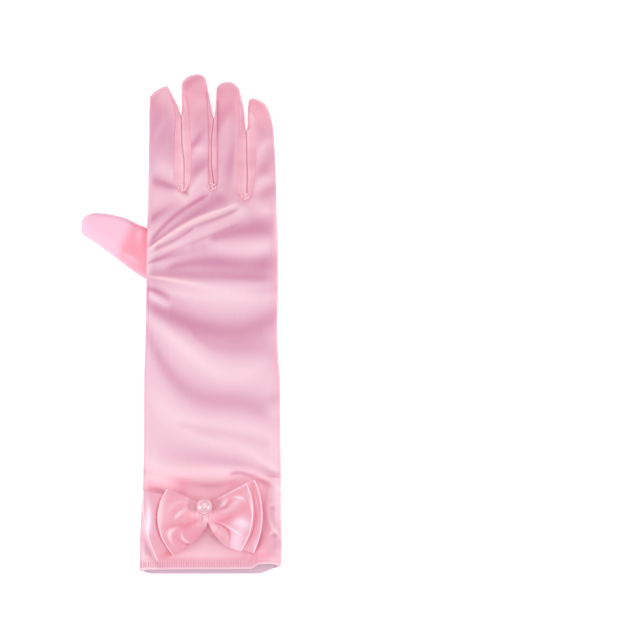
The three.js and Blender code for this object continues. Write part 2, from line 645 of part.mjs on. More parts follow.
// A bow: one ribbon ring that lies flat, folded at its two ends and gathered in the middle
function bowGeometry(bow) {
  const shape = curves(bow.sections, "share", ["top", "bottom", "back", "opening"]);
  const endReach = (across, row) => {
    const end = bow.ends[across < 0 ? 0 : 1];
    const straight = mix(end.at_bottom, end.at_top, row);
    const bulge = end.at_middle - (end.at_bottom + end.at_top) / 2;
    return end.side * (straight + bulge * arch(row));
  };
  const place = (across, row, front, inset, out) => {
    const reach = Math.abs(across) * endReach(across, row);
    const x = BOW_X + reach + out * Math.sign(across) * (BOW_FOLD_WIDTH - inset);
    const y = BOW_Y + mix(shape.bottom(across), shape.top(across), row);
    const back = bow.base + shape.back(across);
    const share = Math.abs(across);
    const wave = Math.cos(PLEATS * Math.PI * row) * ease((share - PLEAT_FROM) * 3) * (1 - share) * 2;
    const frontZ = back + WALL + shape.opening(across) + bow.pleat * wave - inset;
    return new THREE.Vector3(x, y, mix(back + inset, frontZ, front));
  };
  const round = (row, inset) => {
    const fold = (side) =>
      steps(BOW_FOLD_CELLS)
        .slice(1, -1)
        .map((turn) => {
          const upright = (1 + Math.cos(Math.PI * turn)) / 2;
          return place(side, row, upright, inset, Math.sin(Math.PI * turn));
        });
    return [
      ...steps(BOW_FRONT_CELLS).map((t) => place(2 * t - 1, row, 1, inset, 0)),
      ...fold(1),
      ...steps(BOW_BACK_CELLS).map((t) => place(1 - 2 * t, row, 0, inset, 0)),
      ...fold(-1).reverse(),
    ];
  };
  const cloth = new Cloth();
  const rows = steps(BOW_ROWS).map((row) => cloth.row(round(row, 0), round(row, WALL)));
  for (let i = 1; i < rows.length; i++) {
    cloth.join([...rows[i - 1], rows[i - 1][0]], [...rows[i], rows[i][0]]);
  }
  return cloth.geometry();
}

// The wrap round the middle of both bows
function knotGeometry() {
  const middle = (KNOT.top + KNOT.bottom) / 2;
  const power = 2 / KNOT.squareness;
  const bent = (value) => Math.sign(value) * Math.abs(value) ** power;
  const round = (share, inset) =>
    steps(KNOT_CELLS)
      .slice(0, -1)
      .map((turn) => {
        const angle = 2 * Math.PI * (turn + 0.5 / KNOT_CELLS);
        const z = middle + ((KNOT.top - KNOT.bottom) / 2 - inset) * bent(Math.sin(angle));
        const y = BOW_Y + (KNOT.half_length - inset) * bent(Math.cos(angle));
        return new THREE.Vector3(BOW_X + mix(-1, 1, share) * KNOT.half_width, y, z);
      });
  const cloth = new Cloth();
  const rows = steps(KNOT_ROWS).map((share) => cloth.row(round(share, 0), round(share, WALL)));
  for (let i = 1; i < rows.length; i++) {
    cloth.join([...rows[i - 1], rows[i - 1][0]], [...rows[i], rows[i][0]]);
  }
  return cloth.geometry();
}

function pearlGeometry() {
  const bead = new THREE.SphereGeometry(PEARL_RADIUS, 16, 10);
  bead.rotateX(Math.PI / 2);
  bead.translate(PEARL_X, PEARL_Y, KNOT.top + CLEAR + PEARL_RADIUS);
  return bead;
}

const glove = new THREE.Group();

function add(name, geometry, colour, roughness) {
  const material = new THREE.MeshStandardMaterial({ color: colour, roughness, metalness: 0 });
  const mesh = new THREE.Mesh(geometry, material);
  mesh.name = name;
  glove.add(mesh);
}

FINGERS.forEach((finger) => {
  const names = ["left_edge", "left_seam", "right_seam", "right_edge"];
  finger.curves = curves(finger.sections, "share", names);
});

add("trank", trankGeometry(), COLOURS.satin, 0.35);
SLOTS.forEach((slot, i) => {
  add(slot.name, fourchetteGeometry(slot, FINGERS[i], FINGERS[i + 1]), COLOURS.strip, 0.4);
});
add("thumb", thumbGeometry(), COLOURS.satin, 0.35);
add("cuff_hem", hemGeometry(), COLOURS.satin, 0.4);
add("bow_lower", bowGeometry(BOW_LOWER), COLOURS.bow, 0.35);
add("bow_upper", bowGeometry(BOW_UPPER), COLOURS.bow, 0.35);
add("bow_knot", knotGeometry(), COLOURS.bow, 0.35);
add("pearl", pearlGeometry(), COLOURS.pearl, 0.15);

export default glove;
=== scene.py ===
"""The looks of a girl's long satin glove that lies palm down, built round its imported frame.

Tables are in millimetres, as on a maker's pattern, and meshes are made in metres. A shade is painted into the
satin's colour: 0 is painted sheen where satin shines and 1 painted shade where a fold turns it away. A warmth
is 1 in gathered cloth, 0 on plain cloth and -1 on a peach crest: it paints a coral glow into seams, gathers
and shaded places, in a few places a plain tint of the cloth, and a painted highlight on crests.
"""

import math

import bpy
import numpy as np
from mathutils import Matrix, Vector


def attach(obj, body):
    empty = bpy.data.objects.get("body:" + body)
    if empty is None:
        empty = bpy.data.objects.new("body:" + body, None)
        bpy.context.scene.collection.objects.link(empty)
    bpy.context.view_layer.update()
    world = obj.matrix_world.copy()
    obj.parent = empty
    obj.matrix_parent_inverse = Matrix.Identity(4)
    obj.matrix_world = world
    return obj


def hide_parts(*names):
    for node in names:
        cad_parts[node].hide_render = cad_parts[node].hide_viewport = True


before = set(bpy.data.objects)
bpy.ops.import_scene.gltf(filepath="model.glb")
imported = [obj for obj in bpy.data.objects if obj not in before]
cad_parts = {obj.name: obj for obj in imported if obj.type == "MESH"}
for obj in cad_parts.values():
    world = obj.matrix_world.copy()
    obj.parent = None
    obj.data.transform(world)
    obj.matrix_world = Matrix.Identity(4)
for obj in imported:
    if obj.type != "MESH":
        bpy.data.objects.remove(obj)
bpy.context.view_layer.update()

bl_info = {
    "name": "Satin Glove Dresser",
    "version": (1, 0, 0),
    "blender": (4, 5, 0),
    "location": "View3D > Sidebar > Glove",
    "description": "Sews the satin glove's cloth, bows and pearl over its frame",
    "category": "Object",
}

MM = 0.001

# Thickness of the cloth, of the hem and how far it lies inside, of the ribbon and of the wrap
WALL = 0.9
HEM_WALL = 0.7
HEM_DROP = 1.35
RIBBON_WALL = 0.7
WRAP_WALL = 0.8

# Cells of the cloth, and the height and pitch at which its rounds start and change
FINGER_CELLS = 16
FINGER_UNDER_CELLS = 6
GAP_CELLS = 12
GAP_UNDER_CELLS = 4
SIDE_CELLS = 10
STRIP_CELLS = 24
HAND_ROWS = ((-147.3, 0.35), (-145.2, 1.0), (-88, 1.7), (18, 0.65))
KNUCKLE_ROWS = 10
FINGER_STEPS = 56
TIP_CROWDING = 1.4

# The thumb's slot in the left side of the hand, and the pitch of the rounds beside it
THUMB_SLOT = (26.0, 55.3)
SLOT_PITCH = 0.65

# The rounded side along the hand, and how far its back and its fingers are domed
SIDE_WIDTH = 4.0
HAND_CROWN = 0.8
FINGER_CROWN = 0.6
FINGER_THICK = 9.2
FINGER_LENGTH = 60.0
MOUTH_ROLL = 1.1

# Tips: the height of their ridge, and the shares from which they round off and are closed all round
TIP_RIDGE_HEIGHT = 2.6
TIP_ROUND_FROM = 0.78
CLOSED_FROM = 0.86
SLOT_ROUNDNESS = 0.8

# The line pressed along the little-finger side, how far in and down, and the angle of sharp edges
PRESSED_LINE = (0.22, 0.3)
SHARP_ANGLE = math.radians(58)

# The gap at a strip's seam and between touching strips, and the gap of the fingers at which strips touch
SEAM_GAP = 0.03
STRIP_GAP = 0.04
TOUCH_GAP = 1.1
TOUCH_FADE = 0.4

# Painted shade down the sides, by the part of the glove, and painted shade and warmth inside the fingers
SIDE_SHADES = {"hand": 0.22, "fingers": 0.25, "cuff": 0.56}
STRIP_TONES = (0.42, 0.14)
PALM_SHADE = 0.14

# Edges and thickness of the glove: y, left, right, thick
HAND = (
    (-150, -26.1, 59.3, 9.6),
    (-133, -25.9, 59.8, 9.6),
    (-115, -25.1, 59.3, 9.6),
    (-96, -23.9, 59.3, 9.6),
    (-70, -23.4, 59.0, 11.4),
    (-34, -23.2, 58.7, 12.2),
    (-16, -22.6, 57.5, 13.0),
    (2, -22.1, 56.9, 14.6),
    (24, -21.7, 57.5, 17.0),
    (57, -21.2, 57.4, 17.0),
    (70, -20.8, 56.8, 13.4),
    (86, -20.5, 56.2, 10.5),
)

# The mouth of each layer and the last full round below the fingers: x, upper, lower, last
MOUTH = (
    (-26, -148.1, -148.4, 75),
    (-19, -147.7, -150.9, 75),
    (20, -147.3, -150.9, 75),
    (41, -147.2, -150.9, 70),
    (46, -144.6, -150.8, 69.5),
    (51, -144.2, -149.2, 69.5),
    (54.5, -144.5, -147.8, 69.5),
    (60, -145.5, -147.2, 69.5),
)

# Fingers: knuckle and tip heights, the tip's rise, and rows of share, left edge and seam, right seam and edge
FINGERS = (
    {
        "name": "index", "fold": "left",
        "knuckle": (84.3, 84.3), "tip": (137.0, 143.2), "rise": 1.4, "square": 2.6,
        "sections": (
            (0, -20.7, -17.3, -4.7, 0.6),
            (0.2, -20.5, -17.1, -5.0, 0.6),
            (0.4, -20.4, -17.0, -4.8, -0.6),
            (0.6, -20.2, -16.9, -4.2, -0.9),
            (0.75, -20.2, -17.0, -4.4, -2.2),
            (0.88, -20.0, -17.9, -6.9, -5.5),
            (1, -19.7, -19.7, -9.2, -9.2),
        ),
    },
    {
        "name": "middle", "fold": None,
        "knuckle": (84.3, 84.3), "tip": (145.3, 147.6), "rise": 3.7, "square": 3.0,
        "sections": (
            (0, 1.6, 4.7, 16.0, 18.4),
            (0.2, 1.5, 5.4, 15.8, 17.0),
            (0.4, 0.0, 5.3, 15.8, 16.9),
            (0.6, -0.4, 4.2, 15.7, 18.2),
            (0.75, -0.4, 3.3, 15.1, 16.9),
            (0.88, -0.7, 1.7, 14.5, 15.4),
            (1, -0.6, -0.6, 14.0, 14.0),
        ),
    },
    {
        "name": "ring", "fold": None,
        "knuckle": (84.3, 81.3), "tip": (142.3, 141.9), "rise": 3.7, "square": 2.6,
        "sections": (
            (0, 19.3, 20.9, 32.6, 38.5),
            (0.2, 17.9, 20.7, 32.6, 38.6),
            (0.4, 17.8, 20.7, 33.0, 38.4),
            (0.6, 19.0, 20.7, 33.6, 37.6),
            (0.75, 19.7, 20.8, 33.8, 37.0),
            (0.88, 20.1, 21.1, 33.7, 35.7),
            (1, 20.4, 20.4, 33.8, 33.8),
        ),
    },
    {
        "name": "little", "fold": "right",
        "knuckle": (80.1, 78.9), "tip": (134.7, 130.4), "rise": 2.4, "square": 3.6,
        "sections": (
            (0, 39.4, 42.6, 53.1, 56.5),
            (0.2, 39.2, 43.9, 52.6, 56.1),
            (0.4, 38.8, 44.3, 52.2, 55.7),
            (0.6, 38.8, 44.3, 51.7, 55.1),
            (0.75, 39.2, 43.8, 51.4, 54.5),
            (0.88, 39.2, 42.6, 51.0, 53.1),
            (1, 39.8, 39.8, 51.1, 51.1),
        ),
    },
)

# Slots: node, lowest seam point x and y, lowest strip edge x and y
SLOTS = (
    ("fourchette_index_middle", -0.1, 78.9, 1.1, 81.6),
    ("fourchette_middle_ring", 18.2, 79.7, 18.8, 82.2),
    ("fourchette_ring_little", 37.8, 73.9, 38.9, 78.4),
)

# Painted shades of each strip, at places from the top of its left side round the crotch to the top of its
# right side
STRIP_PLACES = (0.1, 0.5, 0.72, 0.95)
STRIP_SHADES = (
    (0.62, 0.30, 0.46, 0.64),
    (0.76, 0.70, 0.54, 0.72),
    (0.78, 0.42, 0.66, 0.40),
)

# Thumb sections: share, low x, low y, high x, high y, bottom, top, side
THUMB = (
    (0, -16.2, 26.6, -16.2, 54.7, 1.35, 8.1, 1.6),
    (0.06, -18.6, 26.6, -18.6, 54.7, 1.35, 8.1, 1.8),
    (0.11, -20.6, 26.6, -20.7, 54.9, 0.2, 8.1, 2.2),
    (0.135, -21.7, 26.7, -21.5, 57.1, 0.2, 8.1, 2.4),
    (0.22, -26.6, 29.2, -26.8, 59.6, 0, 8.2, 3),
    (0.36, -32.6, 33.4, -33.0, 62.8, 0, 8.6, 3.2),
    (0.5, -38.6, 38.0, -39.6, 64.8, 0, 8.8, 3.2),
    (0.66, -45.6, 43.2, -47.0, 66.2, 0, 8.8, 3.2),
    (0.82, -52.6, 48.2, -53.0, 66.6, 0, 8.4, 3),
    (1, -60.0, 52.9, -58.9, 65.1, 0, 8.0, 2.4),
)
THUMB_LENGTH = 50.0
THUMB_TIP_RISE = 1.6
THUMB_TIP_SQUARENESS = 5.0
THUMB_TIP_SIDE = 0.25
THUMB_CROWN = 0.3
THUMB_CELLS = 30
THUMB_STEPS = 56
THUMB_EVEN_UNTIL = 0.84

# Folds of the back, each a band of turned cloth with painted shade on its slope, or with a negative shade a
# painted sheen on its crest, and with no height where it steps neither way: start x and y, end x and y, bend
# and its skew, half widths and shades at start and end, and which way the cloth steps towards the fingers
FOLDS = (
    (-18.1, 85.5, 4.1, 77.6, 0.7, -0.09, 3.8, 1.61, 0.62, 0.89, -1),
    (-18.8, 61.6, 3.3, 71.3, 2.2, -0.14, 2.96, 4.31, 0.85, 0.01, 1),
    (-20, 45.7, 31.1, 80, 0.5, 0.9, 0.6, 8.4, 0.71, 0.61, -1),
    (-20.4, 46.2, 15, 76.9, 3.9, 0.31, 2.2, 1.66, 0.73, 0.8, 1),
    (-5.5, 53.4, 32.3, 71.3, 1.9, 0.9, 1.07, 0.6, -0.33, -0.42, 0),
    (-20.1, 44.1, 39.1, 66.6, 6.2, -0.11, 0.6, 3.35, -0.77, -0.28, 0),
    (-6.6, 52.8, 34, 68.2, -0.2, -0.12, 2.3, 1.27, 0.13, 0.92, -1),
    (-19, 37.2, 34.4, 59, 0.5, -0.15, 1.56, 1.48, 0.33, 0.32, 1),
    (-16.5, 44.1, 6.8, 56.6, -0.9, -0.12, 2.14, 0.75, 0.64, 0.5, -1),
    (16.7, 50.4, 53.4, 54.3, 2.8, -0.83, 2.03, 8.34, 0.59, 0.89, -1),
    (19.8, 47.7, 55.7, 51.4, -7.3, 0.12, 5.23, 8.36, -0.09, -0.68, 0),
    (-21.4, 35.9, 17.2, 46.6, 0.3, 0.36, 0.6, 4.16, 0.61, 0.21, 1),
    (-17.5, 40.9, 5.7, 46.2, 2.2, 0.61, 0.6, 3.86, -0.18, -0.15, 0),
    (-9.6, 32.7, 50.2, 36, 2.4, 0.9, 1.74, 8.4, 0.55, 0.84, 1),
    (-21.7, 29.2, 46.9, 26.9, 0.5, 0.17, 4.04, 2.9, 0.63, 0.44, 1),
    (-19.9, 28, 61, 21.7, -3.7, -0.9, 0.6, 3.72, -0.71, 0.44, 0),
    (-20.8, 20.9, -6.5, 13.2, 1.9, -0.14, 1.29, 2.87, 0.69, 0.32, -1),
    (-19.7, 18.2, -6.2, 11.8, -1.9, 0.09, 3.22, 2.39, -0.8, -0.41, 0),
    (-23, 18.7, 4.3, 10.9, 1.9, 0.49, 1.68, 1.65, 0.25, 0.05, 1),
    (-11.7, 20.6, 60, 18.8, -3.3, 0.9, 1.4, 8.36, -0.16, -0.25, 0),
    (-22.3, 12.5, 53.7, 3.1, -11.1, -0.34, 7.2, 8.4, 0.81, 0.54, -1),
    (4.1, -2, 51.4, -15.9, -6.3, 0.9, 1.92, 7.96, 0.15, 0.39, -1),
    (-23, 5.9, 50.9, -19.7, -17.6, -0.72, 4.75, 8.39, -0.39, -0.12, 0),
    (-23, 0.2, 46.2, -50.8, -18.9, 0.79, 7.55, 7.78, 0.45, 0.45, 1),
    (-21.2, -41.6, 53, -71.7, -7.8, 0.9, 8.4, 8.11, -0.13, -0.56, 0),
    (-3.7, -60.3, 50.1, -71.5, 0.5, -0.35, 1.42, 5.56, 0.26, 0.57, 1),
    (-17.8, -80.1, 60.2, -92.3, 3.7, -0.18, 8.4, 1.72, 0.1, 0.64, -1),
    (7.6, -65.6, 60.8, -90.5, 3.7, 0.43, 1.29, 2.51, 0.27, -0.34, 0),
    (-23, -82.4, 43.1, -88.4, -5.1, 0.9, 8.38, 3.06, -0.3, -0.53, 0),
    (28.1, -90.8, 52.2, -96.8, 2.5, 0.8, 1.08, 1.56, 0.82, 0.92, 1),
)
FOLD_SLOPE = 0.2
RUN_ON_FROM = 43.0
LEVEL_SHADE = 0.26

# Soft dents of the fingers, each with painted shade, or with a negative shade a painted highlight: x and y,
# turn in degrees, half length and width, bend, shade
DENTS = (
    (-19.6, 136.1, -41, 15.6, 5.4, -2.1, 0.39),
    (-15.1, 115.5, 93, 15.6, 5.4, 2.4, 0.51),
    (-5.9, 108.4, 86, 15.6, 5.4, 2.4, 0.36),
    (-10.6, 93.6, -16, 5.9, 4.9, -2.4, -0.24),
    (-14.6, 115.2, 71, 7.4, 2, -1.4, -0.26),
    (3.6, 144.3, 38, 14, 3.2, -1.6, 0.59),
    (5.3, 134.5, 58, 15.6, 5.4, -2.4, 0.31),
    (10.1, 123, 73, 9.9, 4.5, -2.4, 0.3),
    (6.2, 106.6, 49, 10.7, 2.4, 1, 0.69),
    (8.7, 104.8, 2, 4.4, 2.2, -0.5, -0.37),
    (10.5, 93.5, 43, 10.6, 4.8, -2.4, 0.62),
    (9.4, 85.7, 55, 13.3, 2.1, -1, -0.34),
    (18.7, 138.4, 10, 10.7, 3.9, 2.4, 0.37),
    (29.6, 130.7, 83, 11.7, 5.4, -1, 0.53),
    (21.4, 120.4, 90, 15.6, 5.4, 0.1, 0.5),
    (26.5, 119.2, 63, 12.2, 2.6, 0.4, -0.27),
    (29.1, 97, 80, 15.6, 3.4, 0.3, 0.48),
    (26.6, 78.5, 28, 4.7, 5.3, 2.4, -0.43),
    (43.4, 133.9, -40, 11.7, 2.8, -2.4, 0.39),
    (47.7, 116.5, -76, 10.9, 5.4, -0.5, 0.37),
    (49.6, 107.3, 47, 6.5, 2.2, -1.8, -0.29),
    (46.2, 89, 51, 15.6, 4.1, 2.4, 0.58),
    (45.9, 85, 44, 6.8, 4.9, -2.4, -0.55),
    (46.7, 76.8, 22, 13.5, 4.5, 2.4, 0.65),
    (43.3, 74.6, -30, 5.1, 4.3, 0, -0.35),
    (49.8, 66.9, 8, 5.5, 3, 0, -0.34),
    (-2.5, 80.2, -42, 3.6, 2.2, 0, -0.45),
    (-0.5, 76.5, -42, 5, 2.4, 0, -0.25),
    (54.5, -44.9, 20, 5, 3, 0, 0.28),
    (56.5, -54, 30, 7, 3.5, 0, -0.16),
)
DENT_DEPTH = 0.12

# The same beside the bow, which takes over from the folds below this height: painted shade and painted
# highlights round the bow, some of them lifting the shadow it casts
BOW_SIDE_FROM = (-89.0, -93.5)
BOW_SIDE_SHADE = -0.18
PUCKERS = (
    (13.4, -103.6, 0, 8, 2.2, 0, -0.35),
    (14.5, -124.8, 90, 5, 2.4, 0, -0.5),
    (54.5, -110.9, -25, 1.7, 0.9, 0, 0.55),
    (52.9, -109.0, 35, 2.4, 0.6, -0.5, -0.45),
    (55.7, -127.1, 20, 1.9, 0.9, 0, 0.55),
    (53.6, -125.4, 40, 2.6, 0.6, -0.5, -0.45),
    (-23.4, -118.0, -70, 2.4, 0.8, 0, 0.4),
    (-20.8, -116.6, -60, 2.6, 0.6, 0, -0.4),
)
BOW_SIDE_DENTS = (
    (17.9, -97.3, 1, 14.4, 1.8, 2.4, 0.73),
    (53.5, -120.7, -65, 13.6, 1.2, 4.2, -0.78),
    (46.4, -129.8, 63, 12.6, 3.1, 3.6, 0.92),
    (-21.1, -127.9, -76, 14.4, 1.3, 2.7, -0.75),
    (-1.3, -99, -16, 14.4, 3.1, 0.6, -0.47),
    (-15.8, -99.6, -8, 10.2, 1.7, -4.2, 0.92),
    (13.5, -124.4, -36, 14.4, 0.4, 1, 0.62),
    (47, -94.3, -20, 11.5, 2, 1, 0.92),
    (49.4, -112.3, -77, 14.3, 5.4, 4.2, 0.92),
    (3.2, -132.6, 40, 12.7, 0.4, 3.9, 0.92),
    (53.8, -95.8, -34, 14.4, 1.4, 1.4, -0.57),
    (0.2, -98.7, -78, 6.3, 5.4, -3.1, 0.92),
    (-3.3, -138.8, 10, 10, 1.7, -0.3, -0.37),
    (55.9, -133.3, 68, 9.8, 4.1, 3.9, 0.75),
    (29.9, -134.1, -21, 9.6, 0.9, 1.5, 0.92),
    (45.3, -130.9, 79, 9.3, 1.6, 1.2, 0.92),
    (-21, -135.1, -67, 13, 2.1, 3.8, 0.83),
    (54, -91.6, -11, 4.8, 0.8, 0, 0.92),
)

# Bows, about the middle of their knot. "peach" and "rim" say how far the crests are tinted with a painted
# highlight and the long edges lit with one, "base" is the height of the back layer, "ends" the reach of the
# left and right loops at their lower corner, middle and upper corner, and "level" the painted shade of plain
# ribbon.
# "sections" have share of the reach, top, bottom, rise of the back and opening, and "dents" the same as those
# of the fingers.
BOW_X = 13.5
BOW_Y = -114.0
BOW_FOLD_WIDTH = 0.9
BOW_CELLS = 120
BOW_BACK_CELLS = 40
BOW_FOLD_CELLS = 8
BOW_ROWS = 70
BOW_RELIEF = 0.3
BOW_RIM_WIDTH = 0.022
# Painted highlight on the ribbon's folded ends and on its lit long edges
EDGE_SHADE = 0.12
BOW_LOWER = {
    "peach": 0.0, "rim": 0.3,
    "base": 12.2,
    "ends": {-1: (27.4, 34.7, 35.8), 1: (28.9, 33.9, 29.3)},
    "sections": (
        (-1, 13.8, -27.8, 0, 2.6),
        (-0.6, 11.5, -23, 0, 5.0),
        (-0.14, 7.9, -7.6, 0, 1.2),
        (0, 7.8, -4.2, 0, 1.2),
        (0.14, 7.9, -7.6, 0, 1.2),
        (0.6, 16, -19, 0, 5.0),
        (1, 20.4, -23, 0, 2.6),
    ),
    "level": 0.66,
    "dents": (
        (-19.5, -119.5, 84, 12, 1.9, 1.3, -0.34),
        (-19.8, -117.8, 89, 11.3, 1.4, 0.9, -0.67),
        (-14.8, -116, 90, 13.1, 0.4, -3, 0.67),
        (44.6, -108.2, -87, 12.5, 1.8, -1.3, 0.67),
        (-14.1, -123.9, -74, 14.4, 0.4, 3.9, 0.67),
        (-3.5, -135.9, 19, 9.8, 2.1, -0.3, 0.48),
        (-11.6, -127.5, -66, 14.4, 0.5, 3.8, -0.67),
        (41.9, -126, 70, 6.1, 0.4, 0.6, 0.67),
        (43.5, -132.8, -86, 4.2, 0.4, 1.4, -0.54),
        (44.7, -107.4, -84, 7.9, 0.9, -0.2, -0.63),
    ),
}
BOW_UPPER = {
    "peach": 0.8, "rim": 0.7,
    "base": 14.95,
    "ends": {-1: (17.8, 26.6, 21.3), 1: (21.3, 28.4, 24.7)},
    "sections": (
        (-1, 15.4, -23.8, 4.6, 2.6),
        (-0.55, 11.6, -18.4, 4.2, 5.0),
        (-0.25, 8.6, -14.4, 1.4, 3.2),
        (-0.12, 7.9, -12.1, 0, 1.8),
        (-0.02, 7.8, -9.8, 0, 1.2),
        (0.066, 7.8, -7.7, 0, 1.2),
        (0.088, 7.8, -4.8, 0, 1.2),
        (0.11, 7.9, -5.3, 0, 1.6),
        (0.225, 8.6, -9.8, 1.4, 3.2),
        (0.59, 13.4, -17.8, 4.2, 5.0),
        (1, 18.6, -21.6, 4.6, 2.6),
    ),
    "level": 0.81,
    "dents": (
        (-1.1, -113.3, 43, 3.5, 0.9, -0.1, -0.67),
        (3.9, -119.6, 17, 11.4, 1.7, 2.1, 0.28),
        (-6.6, -124.5, 68, 4.9, 1.2, -3, -0.67),
        (25.5, -107.5, 43, 2.9, 1.6, 0.8, -0.64),
        (34.5, -103.4, -15, 3.8, 0.6, -0.9, -0.67),
        (20.5, -118.1, 7, 14.4, 1.7, 3.8, 0.25),
        (35.7, -118.2, -11, 4.7, 3, -1, -0.67),
        (32.6, -130.4, 90, 9.8, 4.1, -4.2, -0.59),
        (-14.1, -113, 84, 14.2, 3.1, -1, -0.67),
        (11, -109.7, -80, 8.3, 4.3, -1.8, -0.67),
        (15.4, -116.9, -76, 8, 3.5, 4.2, -0.67),
        (26.4, -109, -60, 1.5, 2.9, 2.1, 0.67),
        (11.9, -132.2, 14, 9.4, 1.1, 4.2, 0.67),
        (29.4, -108.7, 29, 9.3, 1.7, 1.1, -0.43),
        (29.7, -122, -30, 6.5, 0.5, -0.3, -0.67),
        (-5, -108.2, 43, 8.3, 1.7, -4.2, -0.2),
        (27.9, -122.7, -56, 6.8, 0.6, -3.6, 0.67),
        (41.6, -108.4, -79, 5.9, 0.4, -0.5, -0.61),
        (2, -128.8, -43, 3.4, 0.6, 1.2, -0.67),
    ),
}
KNOT = {"x": 14.3, "y": -112.0, "half_width": 2.0, "half_length": 6.9, "bottom": 10.85, "top": 18.8}
KNOT_SQUARENESS = 6
KNOT_CELLS = 96
KNOT_STEPS = 24
KNOT_GATHERS = 9.5
PEARL_RADIUS = 5.0
PEARL_PLACE = (13.9, -108.8, 24.15)

# The hem inside the mouth, and the stitches that hold it on the front
HEM_DEPTH = 6.0
HEM_CELLS = 80
HEM_ROUNDS = 8
STITCH_PITCH = 1.42
STITCH_FROM = -28.6
STITCH_TO = 43.0
STITCH_BAND = (1.6, 5.0)
STITCH_RADIUS = 0.27
THREAD_RADIUS = 0.26
THREAD_SIDES = 6
STITCH_POINTS = 6
THREAD_POINTS = 9

# Threads that cross the lower end of each strip: start and end, from its lowest seam point
CROTCH_THREADS = (
    (-1.7, 4.6, 1.3, 3.4),
    (1.5, 3.9, -1.2, 2.1),
    (-1.4, 2.6, 1.2, 1.0),
    (1.1, 1.7, -0.7, -0.2),
    (-2.3, 3.4, -1.9, 0.9),
    (2.1, 2.6, 1.5, 0.5),
)


def colour(name, description, *default):
    return bpy.props.FloatVectorProperty(
        name=name, description=description, subtype="COLOR", size=4, default=(*default, 1))


class GloveCloth(bpy.types.PropertyGroup):
    fold_depth: bpy.props.FloatProperty(
        name="Fold depth", description="Multiplies the height of every fold", default=1.0, min=0.0, max=2.0)
    seam_depth: bpy.props.FloatProperty(
        name="Seam depth", description="How far a seam draws the cloth in",
        default=0.24 * MM, min=0.0, unit="LENGTH")
    weave_bump: bpy.props.FloatProperty(
        name="Weave", description="Strength of the fine lengthwise threads", default=0.07, min=0.0, max=1.0)


class GloveColours(bpy.types.PropertyGroup):
    # The crest, thumb and ribbon colours are painted sheen of one satin, the two slope colours its painted
    # shade
    bright: colour("Crest", "Satin where it lies level", 0.825, 0.611, 0.688)
    fold_shade_colour: colour("Slope", "Satin where a fold turns it away", 0.535, 0.238, 0.357)
    # A painted glow, as of light through the satin, in seams, gathers and shaded places
    coral_glow: colour("Seam", "Satin in seams and gathers", 0.865, 0.266, 0.342)
    thumb: colour("Thumb", "Satin of the thumb", 0.875, 0.52, 0.655)
    ribbon: colour("Ribbon", "Ribbon where it faces up", 0.86, 0.711, 0.825)
    ribbon_fold_shade: colour("Ribbon slope", "Ribbon where a pleat turns it away", 0.695, 0.226, 0.297)
    # Painted highlight tint on the brightest crests
    peach: colour("Peach", "Tint of the brightest crests", 0.95, 0.60, 0.57)
    lining: colour("Reverse", "The matt reverse of the satin", 0.60, 0.50, 0.58)
    pearl: colour("Pearl", "Lacquer of the bead", 0.85, 0.47, 0.56)
    # Painted shade on the bead's rim
    pearl_rim_shade: colour("Pearl rim", "Lacquer where the bead turns away", 0.93, 0.40, 0.47)


def mix(a, b, t):
    return a + (b - a) * t


def ease(t):
    held = np.clip(t, 0.0, 1.0)
    return held * held * (3 - 2 * held)


def rise(value, start, width):
    """A smooth step from 0 at a start to 1 a width beyond it, which a negative width turns round."""
    return ease((value - start) / width)


def bell(value, centre, width):
    """1 at a centre, fading out to both sides of it."""
    return np.exp(-(((value - centre) / width) ** 2))


def arch(t):
    return 4 * t * (1 - t)


class Curve:
    """A smooth curve through one column of a table, without overshoot."""

    def __init__(self, rows, column):
        self.at = np.array([row[0] for row in rows], float)
        self.value = np.array([row[column] for row in rows], float)
        slope = np.diff(self.value) / np.diff(self.at)
        product = slope[:-1] * slope[1:]
        total = np.where(product > 0, slope[:-1] + slope[1:], 1.0)
        inner = np.where(product > 0, 2 * product / total, 0.0)
        self.tangent = np.concatenate([slope[:1], inner, slope[-1:]])

    def __call__(self, x):
        held = np.clip(np.asarray(x, float), self.at[0], self.at[-1])
        i = np.clip(np.searchsorted(self.at, held, side="left") - 1, 0, len(self.at) - 2)
        width = self.at[i + 1] - self.at[i]
        t = (held - self.at[i]) / width
        start = self.value[i] * (1 + 2 * t) * (1 - t) ** 2 + self.tangent[i] * width * t * (1 - t) ** 2
        end = self.value[i + 1] * (3 - 2 * t) * t**2 - self.tangent[i + 1] * width * t**2 * (1 - t)
        return start + end


HAND_LEFT, HAND_RIGHT, HAND_THICK = (Curve(HAND, column) for column in (1, 2, 3))
MOUTH_UPPER, MOUTH_LOWER, LAST_ROUND = (Curve(MOUTH, column) for column in (1, 2, 3))
FINGER_CURVES = {
    finger["name"]: [Curve(finger["sections"], column) for column in (1, 2, 3, 4)] for finger in FINGERS
}
THUMB_CURVES = [Curve(THUMB, column) for column in range(1, 8)]


